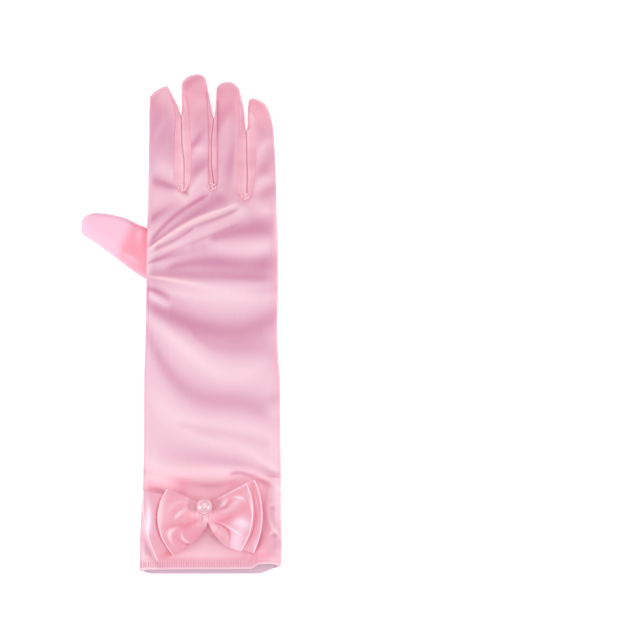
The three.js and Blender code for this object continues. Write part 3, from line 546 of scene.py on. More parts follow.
class Cloth:
    """Cloth with an outer and an inner face: each point has a place on both, a shade and a warmth."""

    def __init__(self):
        self.outer = []
        self.inner = []
        self.shade = []
        self.warmth = []
        self.faces = []

    def row(self, outer, inner, shade=LEVEL_SHADE, warmth=0.0):
        first = len(self.outer)
        self.outer.extend(outer)
        self.inner.extend(inner)
        self.shade.extend(np.broadcast_to(shade, (len(outer),)))
        self.warmth.extend(np.broadcast_to(warmth, (len(outer),)))
        return list(range(first, first + len(outer)))

    def face(self, *ids):
        ring = [a for a, b in zip(ids, ids[1:] + ids[:1]) if a != b]
        if len(ring) > 2:
            self.faces.append(ring)

    def join(self, near, far):
        """Faces between a row of points and the next one, which may have another number of points."""
        if len(near) == len(far):
            for i in range(1, len(near)):
                self.face(near[i - 1], near[i], far[i], far[i - 1])
            return
        i = j = 0
        while i < len(near) - 1 or j < len(far) - 1:
            near_next = (i + 1) / (len(near) - 1) if i < len(near) - 1 else math.inf
            far_next = (j + 1) / (len(far) - 1) if j < len(far) - 1 else math.inf
            if near_next <= far_next:
                self.face(near[i], near[i + 1], far[j])
                i += 1
            else:
                self.face(near[i], far[j + 1], far[j])
                j += 1

    def make(self, name):
        count = len(self.outer)
        edges = set()
        faces = []
        for ring in self.faces:
            faces.append(ring)
            faces.append([i + count for i in reversed(ring)])
            edges.update(zip(ring, ring[1:] + ring[:1]))
        for a, b in edges:
            if (b, a) not in edges:
                faces.append([b, a, a + count, b + count])
        places = np.array(self.outer + self.inner, float) * MM
        tones = {
            "shade": np.array(self.shade + self.shade, float),
            "warmth": np.array(self.warmth + self.warmth, float),
            "reverse": np.concatenate([np.zeros(count), np.ones(count)]),
        }
        return mesh_object(name, places, faces, tones)


def mesh_object(name, places, faces, attributes):
    """A smooth mesh object at the origin, with its point attributes, whose unused points are dropped."""
    used = np.unique(np.concatenate([np.asarray(face) for face in faces]))
    renumber = np.full(len(places), -1)
    renumber[used] = np.arange(len(used))
    mesh = bpy.data.meshes.new(name)
    mesh.from_pydata(places[used].tolist(), [], [renumber[face].tolist() for face in faces])
    for attribute, values in attributes.items():
        layer = mesh.attributes.new(attribute, "FLOAT", "POINT")
        layer.data.foreach_set("value", values[used].astype(np.float32))
    mesh.validate()
    mesh.update()
    made = bpy.data.objects.new(name, mesh)
    bpy.context.scene.collection.objects.link(made)
    bpy.ops.object.select_all(action="DESELECT")
    made.select_set(True)
    bpy.context.view_layer.objects.active = made
    bpy.ops.object.shade_smooth_by_angle(angle=SHARP_ANGLE)
    return made


def finish_piece(made, node, material):
    made.data.materials.clear()
    made.data.materials.append(material)
    if node:
        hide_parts(node)
    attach(made, "root")
    return made


def dented(dents, x, y):
    """Height and painted shade of soft dents, each a bent streak that fades out all round."""
    height = np.zeros(x.shape)
    shade = np.zeros(x.shape)
    for centre_x, centre_y, turn, length, width, bend, dark in dents:
        turned = math.radians(turn)
        along = ((x - centre_x) * math.cos(turned) + (y - centre_y) * math.sin(turned)) / length
        across = (y - centre_y) * math.cos(turned) - (x - centre_x) * math.sin(turned) - bend * along**2
        shape = dark * np.exp(-(along**2)) / np.cosh(np.clip(across / width, -12, 12)) ** 2
        shade += shape
        height -= width * shape
    return height, shade


def fold_bands(x, y):
    """Height, painted shade and painted light crests that the folds and dents give to points of the back."""
    x, y = np.broadcast_arrays(np.asarray(x, float), np.asarray(y, float))
    height = np.zeros(x.shape)
    shade = np.full(x.shape, LEVEL_SHADE)
    crest = np.zeros(x.shape)
    for x0, y0, x1, y1, bend, skew, width0, width1, dark0, dark1, step in FOLDS:
        t = (x - x0) / (x1 - x0)
        held = np.clip(t, -0.1, 1.1)
        line = mix(y0, y1, held) + bend * arch(held) * (1 + skew * (1 - 2 * held))
        held = np.clip(t, 0, 1)
        width = mix(width0, width1, held)
        end = ease((1.06 - t) / 0.16) if x1 < RUN_ON_FROM else ease((1.25 - t) / 0.3)
        dark = mix(dark0, dark1, held) * ease((t + 0.06) / 0.16) * end
        across = np.clip((y - line) / width, -12, 12)
        shade += dark / np.cosh(across) ** 2
        crest += np.maximum(-dark, 0) * ease((4 - width) / 2) / np.cosh(across) ** 2
        height += step * FOLD_SLOPE * dark * width * np.tanh(across)
    dent_height, dent_shade = dented(DENTS, x, y)
    height, shade = height + DENT_DEPTH * dent_height, shade + dent_shade
    side_height, side_shade = dented(BOW_SIDE_DENTS + PUCKERS, x, y)
    beside = rise(y, BOW_SIDE_FROM[0], BOW_SIDE_FROM[1] - BOW_SIDE_FROM[0])
    height = height + DENT_DEPTH * side_height * beside
    shade = mix(shade, BOW_SIDE_SHADE + side_shade, beside)
    return height * bpy.context.scene.glove_cloth.fold_depth, shade, crest


def fold_height(x, y):
    return fold_bands(x, y)[0]


def segment_distance(x, y, line):
    """Distance in plan from points to a line of points."""
    start, end = line[:-1], line[1:]
    along = end - start
    square = (along**2).sum(1)
    to = np.stack([x, y], -1)[:, None, :] - start[None]
    t = np.clip((to * along[None]).sum(2) / square[None], 0, 1)
    return np.sqrt(((to - t[..., None] * along[None]) ** 2).sum(2)).min(1)


def tip_fullness(share):
    """How full a tube still is where it rounds off to its tip, from 1 to 0."""
    around = max(0.0, (share - TIP_ROUND_FROM) / (1 - TIP_ROUND_FROM))
    return math.sqrt(max(0.0, 1 - around**2))


def inner_share(share, inset, length):
    """The share at which a layer is measured, so that the inner one stops short of the outer one's tip."""
    return share - 2 * inset / length * max(0.0, (share - CLOSED_FROM) / (1 - CLOSED_FROM))


def finger_section(finger, share, inset):
    """Plan points of a finger's left edge and seam and right seam and edge, with its faces and crown."""
    plan = inner_share(share, inset, FINGER_LENGTH)
    left_y, right_y = (mix(finger["knuckle"][side], finger["tip"][side], plan) for side in (0, 1))
    places = [float(curve(plan)) for curve in FINGER_CURVES[finger["name"]]]
    fullness = tip_fullness(share)
    thick = mix(float(HAND_THICK(left_y)), FINGER_THICK, float(ease(share * 4)))
    return {
        "left": np.array([places[0], left_y]), "left_seam": np.array([places[1], left_y]),
        "right_seam": np.array([places[2], right_y]), "right": np.array([places[3], right_y]),
        "low": mix(TIP_RIDGE_HEIGHT, inset, fullness), "high": mix(TIP_RIDGE_HEIGHT, thick - inset, fullness),
        "crown": FINGER_CROWN * fullness, "fullness": fullness, "square": finger["square"],
    }


def inset_edge(seam, edge, inset):
    width = np.hypot(*(edge - seam))
    return mix(seam, edge, 1 - inset / width if width > inset else 0.0)


def side_run(seam, edge, low, high, reverse=False):
    """Points down a rounded side, from the top seam to the bottom one, without its ends."""
    turn = np.arange(1, SIDE_CELLS) / SIDE_CELLS
    out = np.sin(math.pi * turn)[:, None]
    plan = seam[None] + (edge - seam)[None] * out
    z = (high + low) / 2 + (high - low) / 2 * np.cos(math.pi * turn)
    run = np.column_stack([plan, z])
    return run[::-1] if reverse else run


def tube_runs(section, top_cells, bottom_cells, forward, inset, relief=None):
    """The four runs of a tube's section: over the top, down the right, back below and up the left."""
    def face(cells, start, end):
        t = np.linspace(0, 1, cells + 1)
        plan = section[start][None] + (section[end] - section[start])[None] * t[:, None]
        bow = 1 - np.abs(2 * t - 1) ** section["square"]
        return t, plan + bow[:, None] * np.asarray(forward)[None]

    t, plan = face(top_cells, "left_seam", "right_seam")
    z = section["high"] + section["crown"] * (1 - (2 * t - 1) ** 2)
    if relief is not None:
        z = z + relief(plan[:, 0], plan[:, 1]) * section["fullness"]
    top = np.column_stack([plan, z])
    _, under = face(bottom_cells, "right_seam", "left_seam")
    bottom = np.column_stack([under, np.full(len(under), section["low"])])
    right = inset_edge(section["right_seam"], section["right"], inset)
    left = inset_edge(section["left_seam"], section["left"], inset)
    return {
        "top": top,
        "right": side_run(section["right_seam"], right, section["low"], top[-1, 2]),
        "bottom": bottom,
        "left": side_run(section["left_seam"], left, section["low"], top[0, 2], reverse=True),
    }


def slot_rim(index, inset, cells, on_top):
    """The rim of a slot at the knuckles, between the seams of two fingers."""
    _, seam_x, seam_y, _, _ = SLOTS[index]
    start = finger_section(FINGERS[index], 0.0, 0.0)["right_seam"]
    end = finger_section(FINGERS[index + 1], 0.0, 0.0)["left_seam"]
    t = np.arange(1, cells)[:, None] / cells
    depth = np.sin(math.pi * t) ** SLOT_ROUNDNESS
    drop = np.array([seam_x, seam_y]) - (start + end) / 2
    plan = start + (end - start) * t + drop * depth
    z = HAND_THICK(plan[:, 1]) - inset if on_top else np.full(len(plan), inset)
    return np.column_stack([plan, z])


def tube_shares(even_until, steps):
    """Shares of a tube's length, even up to one of them and closer together from there to the tip."""
    even = np.linspace(0, even_until, int(steps * 0.8) + 1)
    tip = 1 - (1 - even_until) * (1 - np.linspace(0, 1, int(steps * 0.2) + 1)[1:]) ** TIP_CROWDING
    return list(even), list(tip)


def seam_lines():
    """The seam of each slot in plan, from one finger's tip round the crotch to the next one's."""
    lines = []
    for index in range(len(SLOTS)):
        shares = np.linspace(0, 0.97, 40)
        down = [finger_section(FINGERS[index], share, 0.0)["right_seam"] for share in shares[::-1]]
        up = [finger_section(FINGERS[index + 1], share, 0.0)["left_seam"] for share in shares]
        lines.append(np.vstack([down, slot_rim(index, 0.0, GAP_CELLS, True)[:, :2], up]))
    return lines


class Relief:
    """Height that folds, seams and gathers give to the back of the glove, and the painted shade and glow of
    its cloth.
    """

    def __init__(self):
        self.lines = seam_lines()
        self.seam_depth = bpy.context.scene.glove_cloth.seam_depth / MM

    def seam(self, x, y):
        x, y = np.broadcast_arrays(np.asarray(x, float), np.asarray(y, float))
        distance = np.full(x.shape, 99.0)
        near = y > 60
        if near.any():
            found = [segment_distance(x[near], y[near], line) for line in self.lines]
            distance[near] = np.min(found, axis=0)
        return distance

    def pucker(self, x, y, distance):
        """Short gathers that run out of each crotch."""
        total = np.zeros(x.shape)
        for _, seam_x, seam_y, _, _ in SLOTS:
            from_x, from_y = x - seam_x, y - seam_y
            radius = np.hypot(from_x, from_y)
            angle = np.arctan2(from_y, from_x)
            total += 0.13 * np.cos(angle * 9 + seam_x) * bell(radius, 3, 2.4)
        return total * ease(distance / 1.0)

    def __call__(self, x, y):
        distance = self.seam(x, y)
        wave = np.sin(x * 1.3 + 4.1 * np.sin(y * 0.31)) * np.sin(y * 1.9 + 2.3 * np.sin(y * 0.17))
        swell = 0.16 * (1 + 0.8 * wave) * bell(distance, 1.5, 0.8)
        drawn = self.seam_depth * bell(distance, 0, 0.9)
        return fold_height(x, y) - drawn + swell + self.pucker(x, y, distance)

    def tones(self, x, y):
        """Painted shade and warmth of points of the back."""
        distance = self.seam(x, y)
        from_left, from_right, from_mouth = x - HAND_LEFT(y), HAND_RIGHT(y) - x, y - MOUTH_UPPER(x)
        ripple = 0.14 * np.sin(2.3 * y + 1.7 * np.sin(0.9 * x)) * np.sin(0.7 * y + x)
        from_bow = np.hypot(np.maximum(np.abs(x - BOW_X) - 35, 0), np.maximum(np.abs(y - BOW_Y + 3) - 20, 0))
        left_of_bow = rise(x, -8, -6) * rise(y, -98, -6)
        under_bow = bell(x, 15, 14) * bell(y, -136, 7)
        on_little = rise(x, 36, 6)
        hem_band = rise(from_mouth, 7.8, -1.8) * (1 - 0.5 * rise(np.abs(x - 17), 27, 10))
        # Patches of painted shade, a negative one a painted highlight, and of warmth, mostly a painted glow
        patches = {
            "seam": (-0.2, 0, bell(distance, 0, 1.1)),
            "seam glow": (0, 0.25, bell(distance, 0, 0.7)),
            "left side": (0.14, 0, rise(y, 80, -20) * bell(from_left, 0, 2.2)),
            "thumb's root": (-0.9, 0, rise(y, 27, 4) * rise(y, 58, -4) * bell(from_left, 0, 1.8)),
            "round the bow": (0, 1 - 0.8 * under_bow, mix(0.42, 0.16, left_of_bow) * bell(from_bow, 0, 6)),
            "under the bow": (0.3, 0, under_bow),
            "little fingertip": (-0.25, 0, rise(y, 116, 10) * rise(x, 38, 3)),
            "little finger": (0, 0.42, rise(y, 112, 20) * on_little),
            "other fingertips": (0, 0.24, rise(y, 112, 28) * (1 - on_little)),
            "hand": (0, 0.1, rise(y, 34, 40) * (1 - 0.9 * rise(y, 84, 8) * rise(x, 4, -6))),
            "right side": (0, 0.16, bell(from_right, 1.4, 2.2) * rise(y, 80, -40)),
            "line along it": (0.1, 0, bell(from_right, 3.4, 0.7) * rise(y, 90, -40)),
            "fingers": (0.1, 0, rise(y, 84, 8)),
            "fingertips": (-0.2, 0, rise(y, 126, 9)),
            "hem": (0.46, 0.12, hem_band),
            "lip": (-0.46, 0, bell(from_mouth, 0, 0.8)),
            "line above it": (0.3, 0, bell(from_mouth, 1.7, 0.5)),
        }
        _, shade, crest = fold_bands(x, y)
        shade = 1.08 * shade + ripple * bell(distance, 0, 1.1) - 0.5 * self.pucker(x, y, distance)
        warmth = np.zeros(shade.shape)
        for more_shade, more_warmth, where in patches.values():
            shade, warmth = shade + more_shade * where, warmth + more_warmth * where
        rim = tip_rim(x, y)
        warmth = np.clip(warmth * (1 - 0.6 * rim), 0, 1) - 0.8 * crest * rise(y, 20, 10)
        return np.clip(shade - 0.25 * rim, -0.5, 1.25), warmth


def tip_rim(x, y):
    """How near points are to the light rim that closes each tip but the index one, from 0 to 1."""
    near = np.zeros_like(x)
    for finger in FINGERS[1:]:
        start, end = finger["sections"][-1][1], finger["sections"][-1][3]
        across = np.clip((x - start) / (end - start), 0, 1)
        line = mix(finger["tip"][0], finger["tip"][1], across)
        line = line + finger["rise"] * (1 - np.abs(2 * across - 1) ** finger["square"])
        inside = rise(x, start - 1, 1.5) * rise(x, end + 1, -1.5)
        near = np.maximum(near, inside * bell(np.minimum(line - y, 9), 0, 1.3))
    return near


def mouth_roll(distance):
    """How far the cloth has turned down at a distance from the mouth."""
    inside = np.clip(1 - distance / MOUTH_ROLL, 0, 1)
    return MOUTH_ROLL * (1 - np.sqrt(1 - inside**2)) * 0.8


def knuckle_shares(top):
    """Where the columns of the knuckle row lie across the hand, from 0 to 1."""
    return (top[:, 0] - top[0, 0]) / (top[-1, 0] - top[0, 0])


def hand_section(share, inset, shares_top, shares_under, relief):
    """One round of the hand at a share of the way from the mouth to the last full round."""
    flat_y = mix(MOUTH[0][1], MOUTH[0][3], share)
    left = float(HAND_LEFT(flat_y)) + SIDE_WIDTH
    right = float(HAND_RIGHT(flat_y)) - SIDE_WIDTH
    blend = float(ease((share - 0.8) / 0.2))

    def run(knuckle, mouth, on_top):
        even = np.linspace(0, 1, len(knuckle))
        across = mix(even, knuckle, blend)
        x = mix(left, right, across)
        start = mouth(x)
        y = mix(start, LAST_ROUND(x), share)
        if not on_top:
            return np.column_stack([x, y, np.full(len(x), inset)])
        z = HAND_THICK(y) + HAND_CROWN * (1 - (2 * across - 1) ** 2) + relief(x, y)
        return np.column_stack([x, y, z - inset - mouth_roll(y - start) * (1 if inset == 0 else 0.35)])

    top = run(shares_top, MOUTH_UPPER, True)
    bottom = run(shares_under, MOUTH_LOWER, False)[::-1]
    turn = np.arange(1, SIDE_CELLS) / SIDE_CELLS

    def side(seam, under, direction):
        reach = (SIDE_WIDTH - inset) * np.sin(math.pi * turn)
        z = (seam[2] + under[2]) / 2 + (seam[2] - under[2]) / 2 * np.cos(math.pi * turn)
        return np.column_stack([seam[0] + direction * reach, mix(seam[1], under[1], turn), z])

    outer_seam = side(top[-1], bottom[0], 1)
    if inset == 0:
        outer_seam[1, 0] -= PRESSED_LINE[0]
        outer_seam[1, 2] -= PRESSED_LINE[1]
    return {"top": top, "right": outer_seam, "bottom": bottom,
            "left": side(top[0], bottom[-1], -1)[::-1]}


def corner_runs(ids):
    """The rows of one round, with the corners that its sides share with its top and bottom."""
    top, bottom = ids["top"], ids["bottom"]
    return {"top": top, "right": [top[-1], *ids["right"], bottom[0]], "bottom": bottom,
            "left": [bottom[-1], *ids["left"], top[0]]}


def join_rounds(cloth, near, far):
    for name in near:
        cloth.join(near[name], far[name])


def join_rings(cloth, rows):
    """Faces between closed rows, each of which comes back to its first point."""
    for near, far in zip(rows, rows[1:]):
        cloth.join([*near, near[0]], [*far, far[0]])


def add_runs(cloth, outer, inner, relief, fold="both"):
    """Rows of one round: its back and sides take the folds' painted shade and warmth, its palm half of them.
    """
    ids = {}
    for name, points in outer.items():
        x, y, z = points.T
        shade, warmth = relief.tones(x, y)
        if name == "bottom":
            shade, warmth = PALM_SHADE + shade / 2, warmth / 2
        elif name != "top" and fold not in {"both", name}:
            shade, warmth = STRIP_TONES
        elif name != "top":
            level = outer["top"][0 if name == "left" else -1, 2]
            most = mix(SIDE_SHADES["hand"], SIDE_SHADES["fingers"], rise(y, 80, 10))
            if name == "left":
                most = mix(most, SIDE_SHADES["cuff"], rise(y, -84, -8))
            shade = shade + most * ease((level - z) / 1.6)
        ids[name] = cloth.row(points, inner[name], shade, warmth)
    return corner_runs(ids)


def add_ridge(cloth, outer, inner, shade=0.1, warmth=0.4):
    """The closed tip of a tube, where its top, bottom and sides meet."""
    top = cloth.row(outer["top"], inner["top"], shade, warmth)
    ends = SIDE_CELLS + 1
    return {"top": top, "bottom": top[::-1], "right": [top[-1]] * ends, "left": [top[0]] * ends}


def hand_shares():
    """Shares of the hand's rounds, closer where folds are narrow, and the rounds at the thumb slot's ends."""
    start, end = MOUTH[0][1], MOUTH[0][3]
    slot_marks = [(mark, SLOT_PITCH) for mark in THUMB_SLOT]
    marks = [(start, HAND_ROWS[0][1]), *HAND_ROWS[1:], *slot_marks, (end, SLOT_PITCH)]
    shares = [0.0]
    ends = []
    for (low, pitch), (high, _) in zip(marks, marks[1:]):
        count = max(2, round((high - low) / pitch))
        shares += list((np.linspace(low, high, count + 1)[1:] - start) / (end - start))
        ends.append(len(shares) - 1)
    return shares, ends[-3], ends[-2]


def build_trank(relief):
    """Back and palm in one piece, with the slots between the fingers and the slot for the thumb."""
    cloth = Cloth()

    def finger_runs(finger, share, inset):
        forward = (0.0, finger["rise"] * share**4)
        section = finger_section(finger, share, inset)
        return tube_runs(section, FINGER_CELLS, FINGER_UNDER_CELLS, forward, inset, relief)

    knuckles = [(finger_runs(finger, 0.0, 0.0), finger_runs(finger, 0.0, WALL)) for finger in FINGERS]
    rims = []
    for index in range(len(SLOTS)):
        top = [slot_rim(index, inset, GAP_CELLS, True) for inset in (0.0, WALL)]
        for rim in top:
            rim[:, 2] += relief(rim[:, 0], rim[:, 1])
        under = [slot_rim(index, inset, GAP_UNDER_CELLS, False)[::-1] for inset in (0.0, WALL)]
        rims.append((top, under))

    def knuckle_line(layer, part):
        lines = []
        for index, runs in enumerate(knuckles):
            if index:
                rim = rims[index - 1][0 if part == "top" else 1][layer]
                lines.append(rim if part == "top" else rim[::-1])
            run = runs[layer][part]
            lines.append(run if part == "top" else run[::-1])
        return np.vstack(lines)

    tops = [knuckle_line(layer, "top") for layer in (0, 1)]
    unders = [knuckle_line(layer, "bottom") for layer in (0, 1)]
    shares_top = knuckle_shares(tops[0])
    shares_under = knuckle_shares(unders[0])
    shares, slot_low, slot_high = hand_shares()

    previous = last_runs = None
    for number, share in enumerate(shares):
        outer = hand_section(share, 0.0, shares_top, shares_under, relief)
        inner = hand_section(share, WALL, shares_top, shares_under, relief)
        ids = add_runs(cloth, outer, inner, relief)
        if previous:
            open_cells = SIDE_CELLS // 2 if slot_low < number <= slot_high else 0
            for name in ("top", "right", "bottom"):
                cloth.join(previous[name], ids[name])
            cloth.join(previous["left"][open_cells:], ids["left"][open_cells:])
        previous, last_runs = ids, (outer, inner)

    # Rounds between the last full one and the row of knuckles
    first, final = knuckles[0], knuckles[-1]
    for step in np.arange(1, KNUCKLE_ROWS) / KNUCKLE_ROWS:
        layers = []
        for layer, inset in ((0, 0.0), (1, WALL)):
            base = last_runs[layer]
            top = mix(base["top"], tops[layer], step)
            x, y = top[:, 0], top[:, 1]
            level = mix(base["top"][:, 2] - relief(base["top"][:, 0], base["top"][:, 1]),
                        tops[layer][:, 2] - relief(tops[layer][:, 0], tops[layer][:, 1]), step)
            top[:, 2] = level + relief(x, y)
            layers.append({
                "top": top,
                "right": mix(base["right"], final[layer]["right"], step),
                "bottom": mix(base["bottom"], unders[layer][::-1], step),
                "left": mix(base["left"], first[layer]["left"], step),
            })
        ids = add_runs(cloth, layers[0], layers[1], relief)
        join_rounds(cloth, previous, ids)
        previous = ids

    roots = [add_runs(cloth, outer, inner, relief) for outer, inner in knuckles]
    rim_ids = [(cloth.row(*top, 0.4, 0.45), cloth.row(*under)) for top, under in rims]
    top_ids = list(roots[0]["top"])
    bottom_ids = list(roots[0]["bottom"])
    for (rim_top, rim_under), root in zip(rim_ids, roots[1:]):
        top_ids += rim_top + root["top"]
        bottom_ids = root["bottom"] + rim_under + bottom_ids
    cloth.join(previous["top"], top_ids)
    cloth.join(previous["bottom"], bottom_ids)
    cloth.join(previous["left"], roots[0]["left"])
    cloth.join(previous["right"], roots[-1]["right"])

    closed, tip = tube_shares(CLOSED_FROM, FINGER_STEPS)
    for finger, near in zip(FINGERS, roots):
        for share in closed[1:] + tip:
            outer, inner = finger_runs(finger, share, 0.0), finger_runs(finger, share, WALL)
            if share >= 1:
                far = add_ridge(cloth, outer, inner)
            else:
                far = add_runs(cloth, outer, inner, relief, finger["fold"])
            cloth.join(near["top"], far["top"])
            cloth.join(near["bottom"], far["bottom"])
            for side in ("left", "right"):
                if finger["fold"] == side or share > CLOSED_FROM + 1e-6:
                    cloth.join(near[side], far[side])
            near = far
    return cloth.make("glove_trank")


def strip_stations(index):
    """Seam and edge of a strip, down one finger, round the crotch and up the next."""
    _, _, _, edge_x, edge_y = SLOTS[index]
    before, after = FINGERS[index], FINGERS[index + 1]
    shares, _ = tube_shares(CLOSED_FROM, FINGER_STEPS)
    shares[-1] -= 0.001

    def edge_at(finger, side, y):
        low, high = finger["knuckle"][side], finger["tip"][side]
        return float(FINGER_CURVES[finger["name"]][3 * side]((y - low) / (high - low)))

    def station(finger, share, side):
        name = ("left", "right")[side]
        section = finger_section(finger, share, 0.0)
        edge = section[name].copy()
        gap = edge_at(after, 0, edge[1]) - edge_at(before, 1, edge[1])
        touch = 1 - float(rise(gap, TOUCH_GAP, TOUCH_FADE))
        edge[0] += (2 * side - 1) * (gap - STRIP_GAP) / 2 * touch
        return {"seam": section[name + "_seam"], "edge": edge, "low": 0.0 if share < 0.7 else section["low"],
                "high": section["high"], "round": 1 - 0.74 * touch}

    down = [station(before, share, 1) for share in reversed(shares)]
    up = [station(after, share, 0) for share in shares]
    start, end = down[-1]["edge"], up[0]["edge"]
    crotch = []
    for i, place in enumerate(slot_rim(index, 0.0, GAP_CELLS, True)):
        t = (i + 1) / GAP_CELLS
        drop = np.array([edge_x, edge_y]) - (start + end) / 2
        edge = mix(start, end, t) + drop * math.sin(math.pi * t) ** SLOT_ROUNDNESS
        crotch.append({"seam": place[:2], "edge": edge, "low": 0.0, "high": place[2], "round": 0.28})
    return down + crotch + up


def build_fourchette(index, relief):
    """A strip that lines the slot between two fingers."""
    stations = strip_stations(index)
    turn = np.linspace(0, 1, STRIP_CELLS + 1)
    upright = np.cos(math.pi * turn)
    inward = bell(turn, 0.5, 0.24)
    # Painted glow at the seam and in the crease
    warmth = np.clip(STRIP_TONES[1] + 0.2 * bell(turn, 0, 0.06) + 0.2 * inward, 0, 1)
    cloth = Cloth()
    rows = []
    for number, at in enumerate(stations):
        width = np.hypot(*(at["edge"] - at["seam"]))
        out = (at["edge"] - at["seam"]) / width
        gather = 0.22 * math.sin(number * 1.9) * bell(number, len(stations) / 2, 7)
        layers = []
        for inset in (0.0, WALL):
            reach = SEAM_GAP + (width - SEAM_GAP - inset) * np.sin(math.pi * turn) ** at["round"]
            half = (at["high"] - at["low"]) / 2 - inset
            drawn = relief.seam_depth * (bell(reach, 0, 0.8) - 0.25 * bell(reach, 1.9, 1.0))
            z = (at["high"] + at["low"]) / 2 + half * np.sign(upright) * np.abs(upright) ** at["round"]
            z = z - np.where(turn < 0.5, drawn, 0.0) + gather * bell(turn, 0.2, 0.15)
            layers.append(np.column_stack([at["seam"] + out * reach[:, None], z]))
        along = number / (len(stations) - 1)
        # Painted shade along the strip, a lighter painted line beside the seam, and painted light in the
        # crease
        shade = np.interp(along, STRIP_PLACES, STRIP_SHADES[index])
        shade = shade - 0.18 * bell(turn, 0.12, 0.07) - 0.8 * inward
        shade = shade + 0.08 * math.sin(number * 0.31 + index * 2) + 0.05 * math.sin(number * 0.83)
        rows.append(cloth.row(*layers, shade, warmth))
    for near, far in zip(rows, rows[1:]):
        cloth.join(far, near)
    return cloth.make("glove_" + SLOTS[index][0])


def thumb_tones(x, y):
    """Painted shade and warmth of the thumb, with a painted glow where the hand shades its root."""
    from_edge = y - 26.6 - (-21.9 - x) * 0.69
    root = rise(x - (y - 57.5) * 0.547, -35.4, 9)
    glow = bell(x, -26.2, 2.4) * bell(y, 53, 5)
    dent = bell(x, -34.8, 2.4) * bell(y, 42.8, 2.2)
    lip = bell(y + (x + 30.7) * 0.62, 39, 2.3) * rise(x, -23, -6)
    near = rise(x, -25.5, 3) * rise(y, 40, 8)
    fringe = rise(from_edge, 5.3, -4.5)
    warmth = (0.74 - 0.36 * glow - 0.6 * lip) * root + 0.3 * dent + 0.3 * near - 0.5 * fringe
    shade = 0.06 + 0.12 * root + 0.12 * dent - 0.17 * rise(from_edge, 15, -15) - 0.3 * glow
    return shade, np.clip(warmth, 0, 1)


def thumb_relief(x, y):
    """Height of the dent and the ridge that the folded thumb has near its root."""
    dent = 0.7 * bell(x, -31, 5) * bell(y, 44, 4)
    ridge = 0.4 * bell(y - (x + 24) * 0.15, 52, 2.2) * rise(x, -42, 20)
    return ridge - dent


def thumb_section(share, inset):
    """Plan points of the thumb's low and high edges and seams, with its faces and crown."""
    plan = inner_share(share, inset, THUMB_LENGTH)
    low_x, low_y, high_x, high_y, bottom, top, side = (float(curve(plan)) for curve in THUMB_CURVES)
    low, high = np.array([low_x, low_y]), np.array([high_x, high_y])
    fullness = tip_fullness(share)
    seam = (high - low) / np.hypot(*(high - low)) * side * mix(THUMB_TIP_SIDE, 1, fullness)
    return {
        "left": low, "left_seam": low + seam, "right_seam": high - seam, "right": high,
        "low": mix(TIP_RIDGE_HEIGHT, bottom + inset, fullness),
        "high": mix(TIP_RIDGE_HEIGHT, top - inset, fullness),
        "crown": THUMB_CROWN * fullness, "fullness": fullness, "square": THUMB_TIP_SQUARENESS,
    }


def build_thumb():
    """The thumb's own tube, open inside the hand, with the seam that runs round its outline."""
    turn = np.arange(1, SIDE_CELLS) / SIDE_CELLS
    seam = bell(turn, 0.5, 0.2)
    seam_shades = {"right": 1.0 * seam, "left": -0.1 * seam}
    even, tip = tube_shares(THUMB_EVEN_UNTIL, THUMB_STEPS)
    cloth = Cloth()
    near = None
    for share in even + tip:
        forward = (-THUMB_TIP_RISE * share**4, 0.0)
        outer, inner = (
            tube_runs(thumb_section(share, inset), THUMB_CELLS, THUMB_CELLS, forward, inset, thumb_relief)
            for inset in (0.0, WALL)
        )
        if share >= 1:
            far = add_ridge(cloth, outer, inner, 0.55, 0.0)
        else:
            ids = {}
            for name, points in outer.items():
                shade, warmth = thumb_tones(points[:, 0], points[:, 1])
                shade = shade + 0.6 * rise(share, 0.972, 0.02) + seam_shades.get(name, 0)
                ids[name] = cloth.row(points, inner[name], shade, warmth)
            far = corner_runs(ids)
        if near:
            join_rounds(cloth, near, far)
        near = far
    return cloth.make("glove_thumb")


def build_hem(relief):
    """The turned-in hem inside the mouth."""
    even = np.linspace(0, 1, HEM_CELLS + 1)
    cloth = Cloth()
    previous = None
    for share in np.linspace(0, HEM_DEPTH / (MOUTH[0][3] - MOUTH[0][1]), HEM_ROUNDS):
        outer, inner = (
            hand_section(share, inset, even, even, relief) for inset in (HEM_DROP, HEM_DROP + HEM_WALL)
        )
        ids = add_runs(cloth, outer, inner, relief)
        if previous:
            join_rounds(cloth, previous, ids)
        previous = ids
    return cloth.make("glove_cuff_hem")


class Threads:
    """Thin round threads, made as one mesh."""

    def __init__(self):
        self.places = []
        self.faces = []

    def add(self, line, radii, flat=1.0):
        """A thread along a line, with its radius at each point and its height as a share of its width."""
        first, last = len(self.places), len(self.places) + THREAD_SIDES * (len(line) - 1)
        along = (line[-1] - line[0])[:2] / np.hypot(*(line[-1] - line[0])[:2])
        left, up = np.array([-along[1], along[0], 0.0]), np.array([0.0, 0.0, flat])
        for place, radius in zip(line, radii):
            for angle in 2 * math.pi * np.arange(THREAD_SIDES) / THREAD_SIDES:
                self.places.append(place + radius * (math.cos(angle) * left + math.sin(angle) * up))
        ring = range(THREAD_SIDES)
        for start in range(first, last, THREAD_SIDES):
            for a, b in zip(ring, [*ring[1:], 0]):
                near, far = start + a, start + b
                self.faces.append([near, far, far + THREAD_SIDES, near + THREAD_SIDES])
        self.faces.append([first + corner for corner in reversed(ring)])
        self.faces.append([last + corner for corner in ring])

    def make(self, name, shade, warmth):
        zero = np.zeros(len(self.places))
        tones = {"shade": zero + shade, "warmth": zero + warmth, "reverse": zero}
        return mesh_object(name, np.array(self.places) * MM, self.faces, tones)


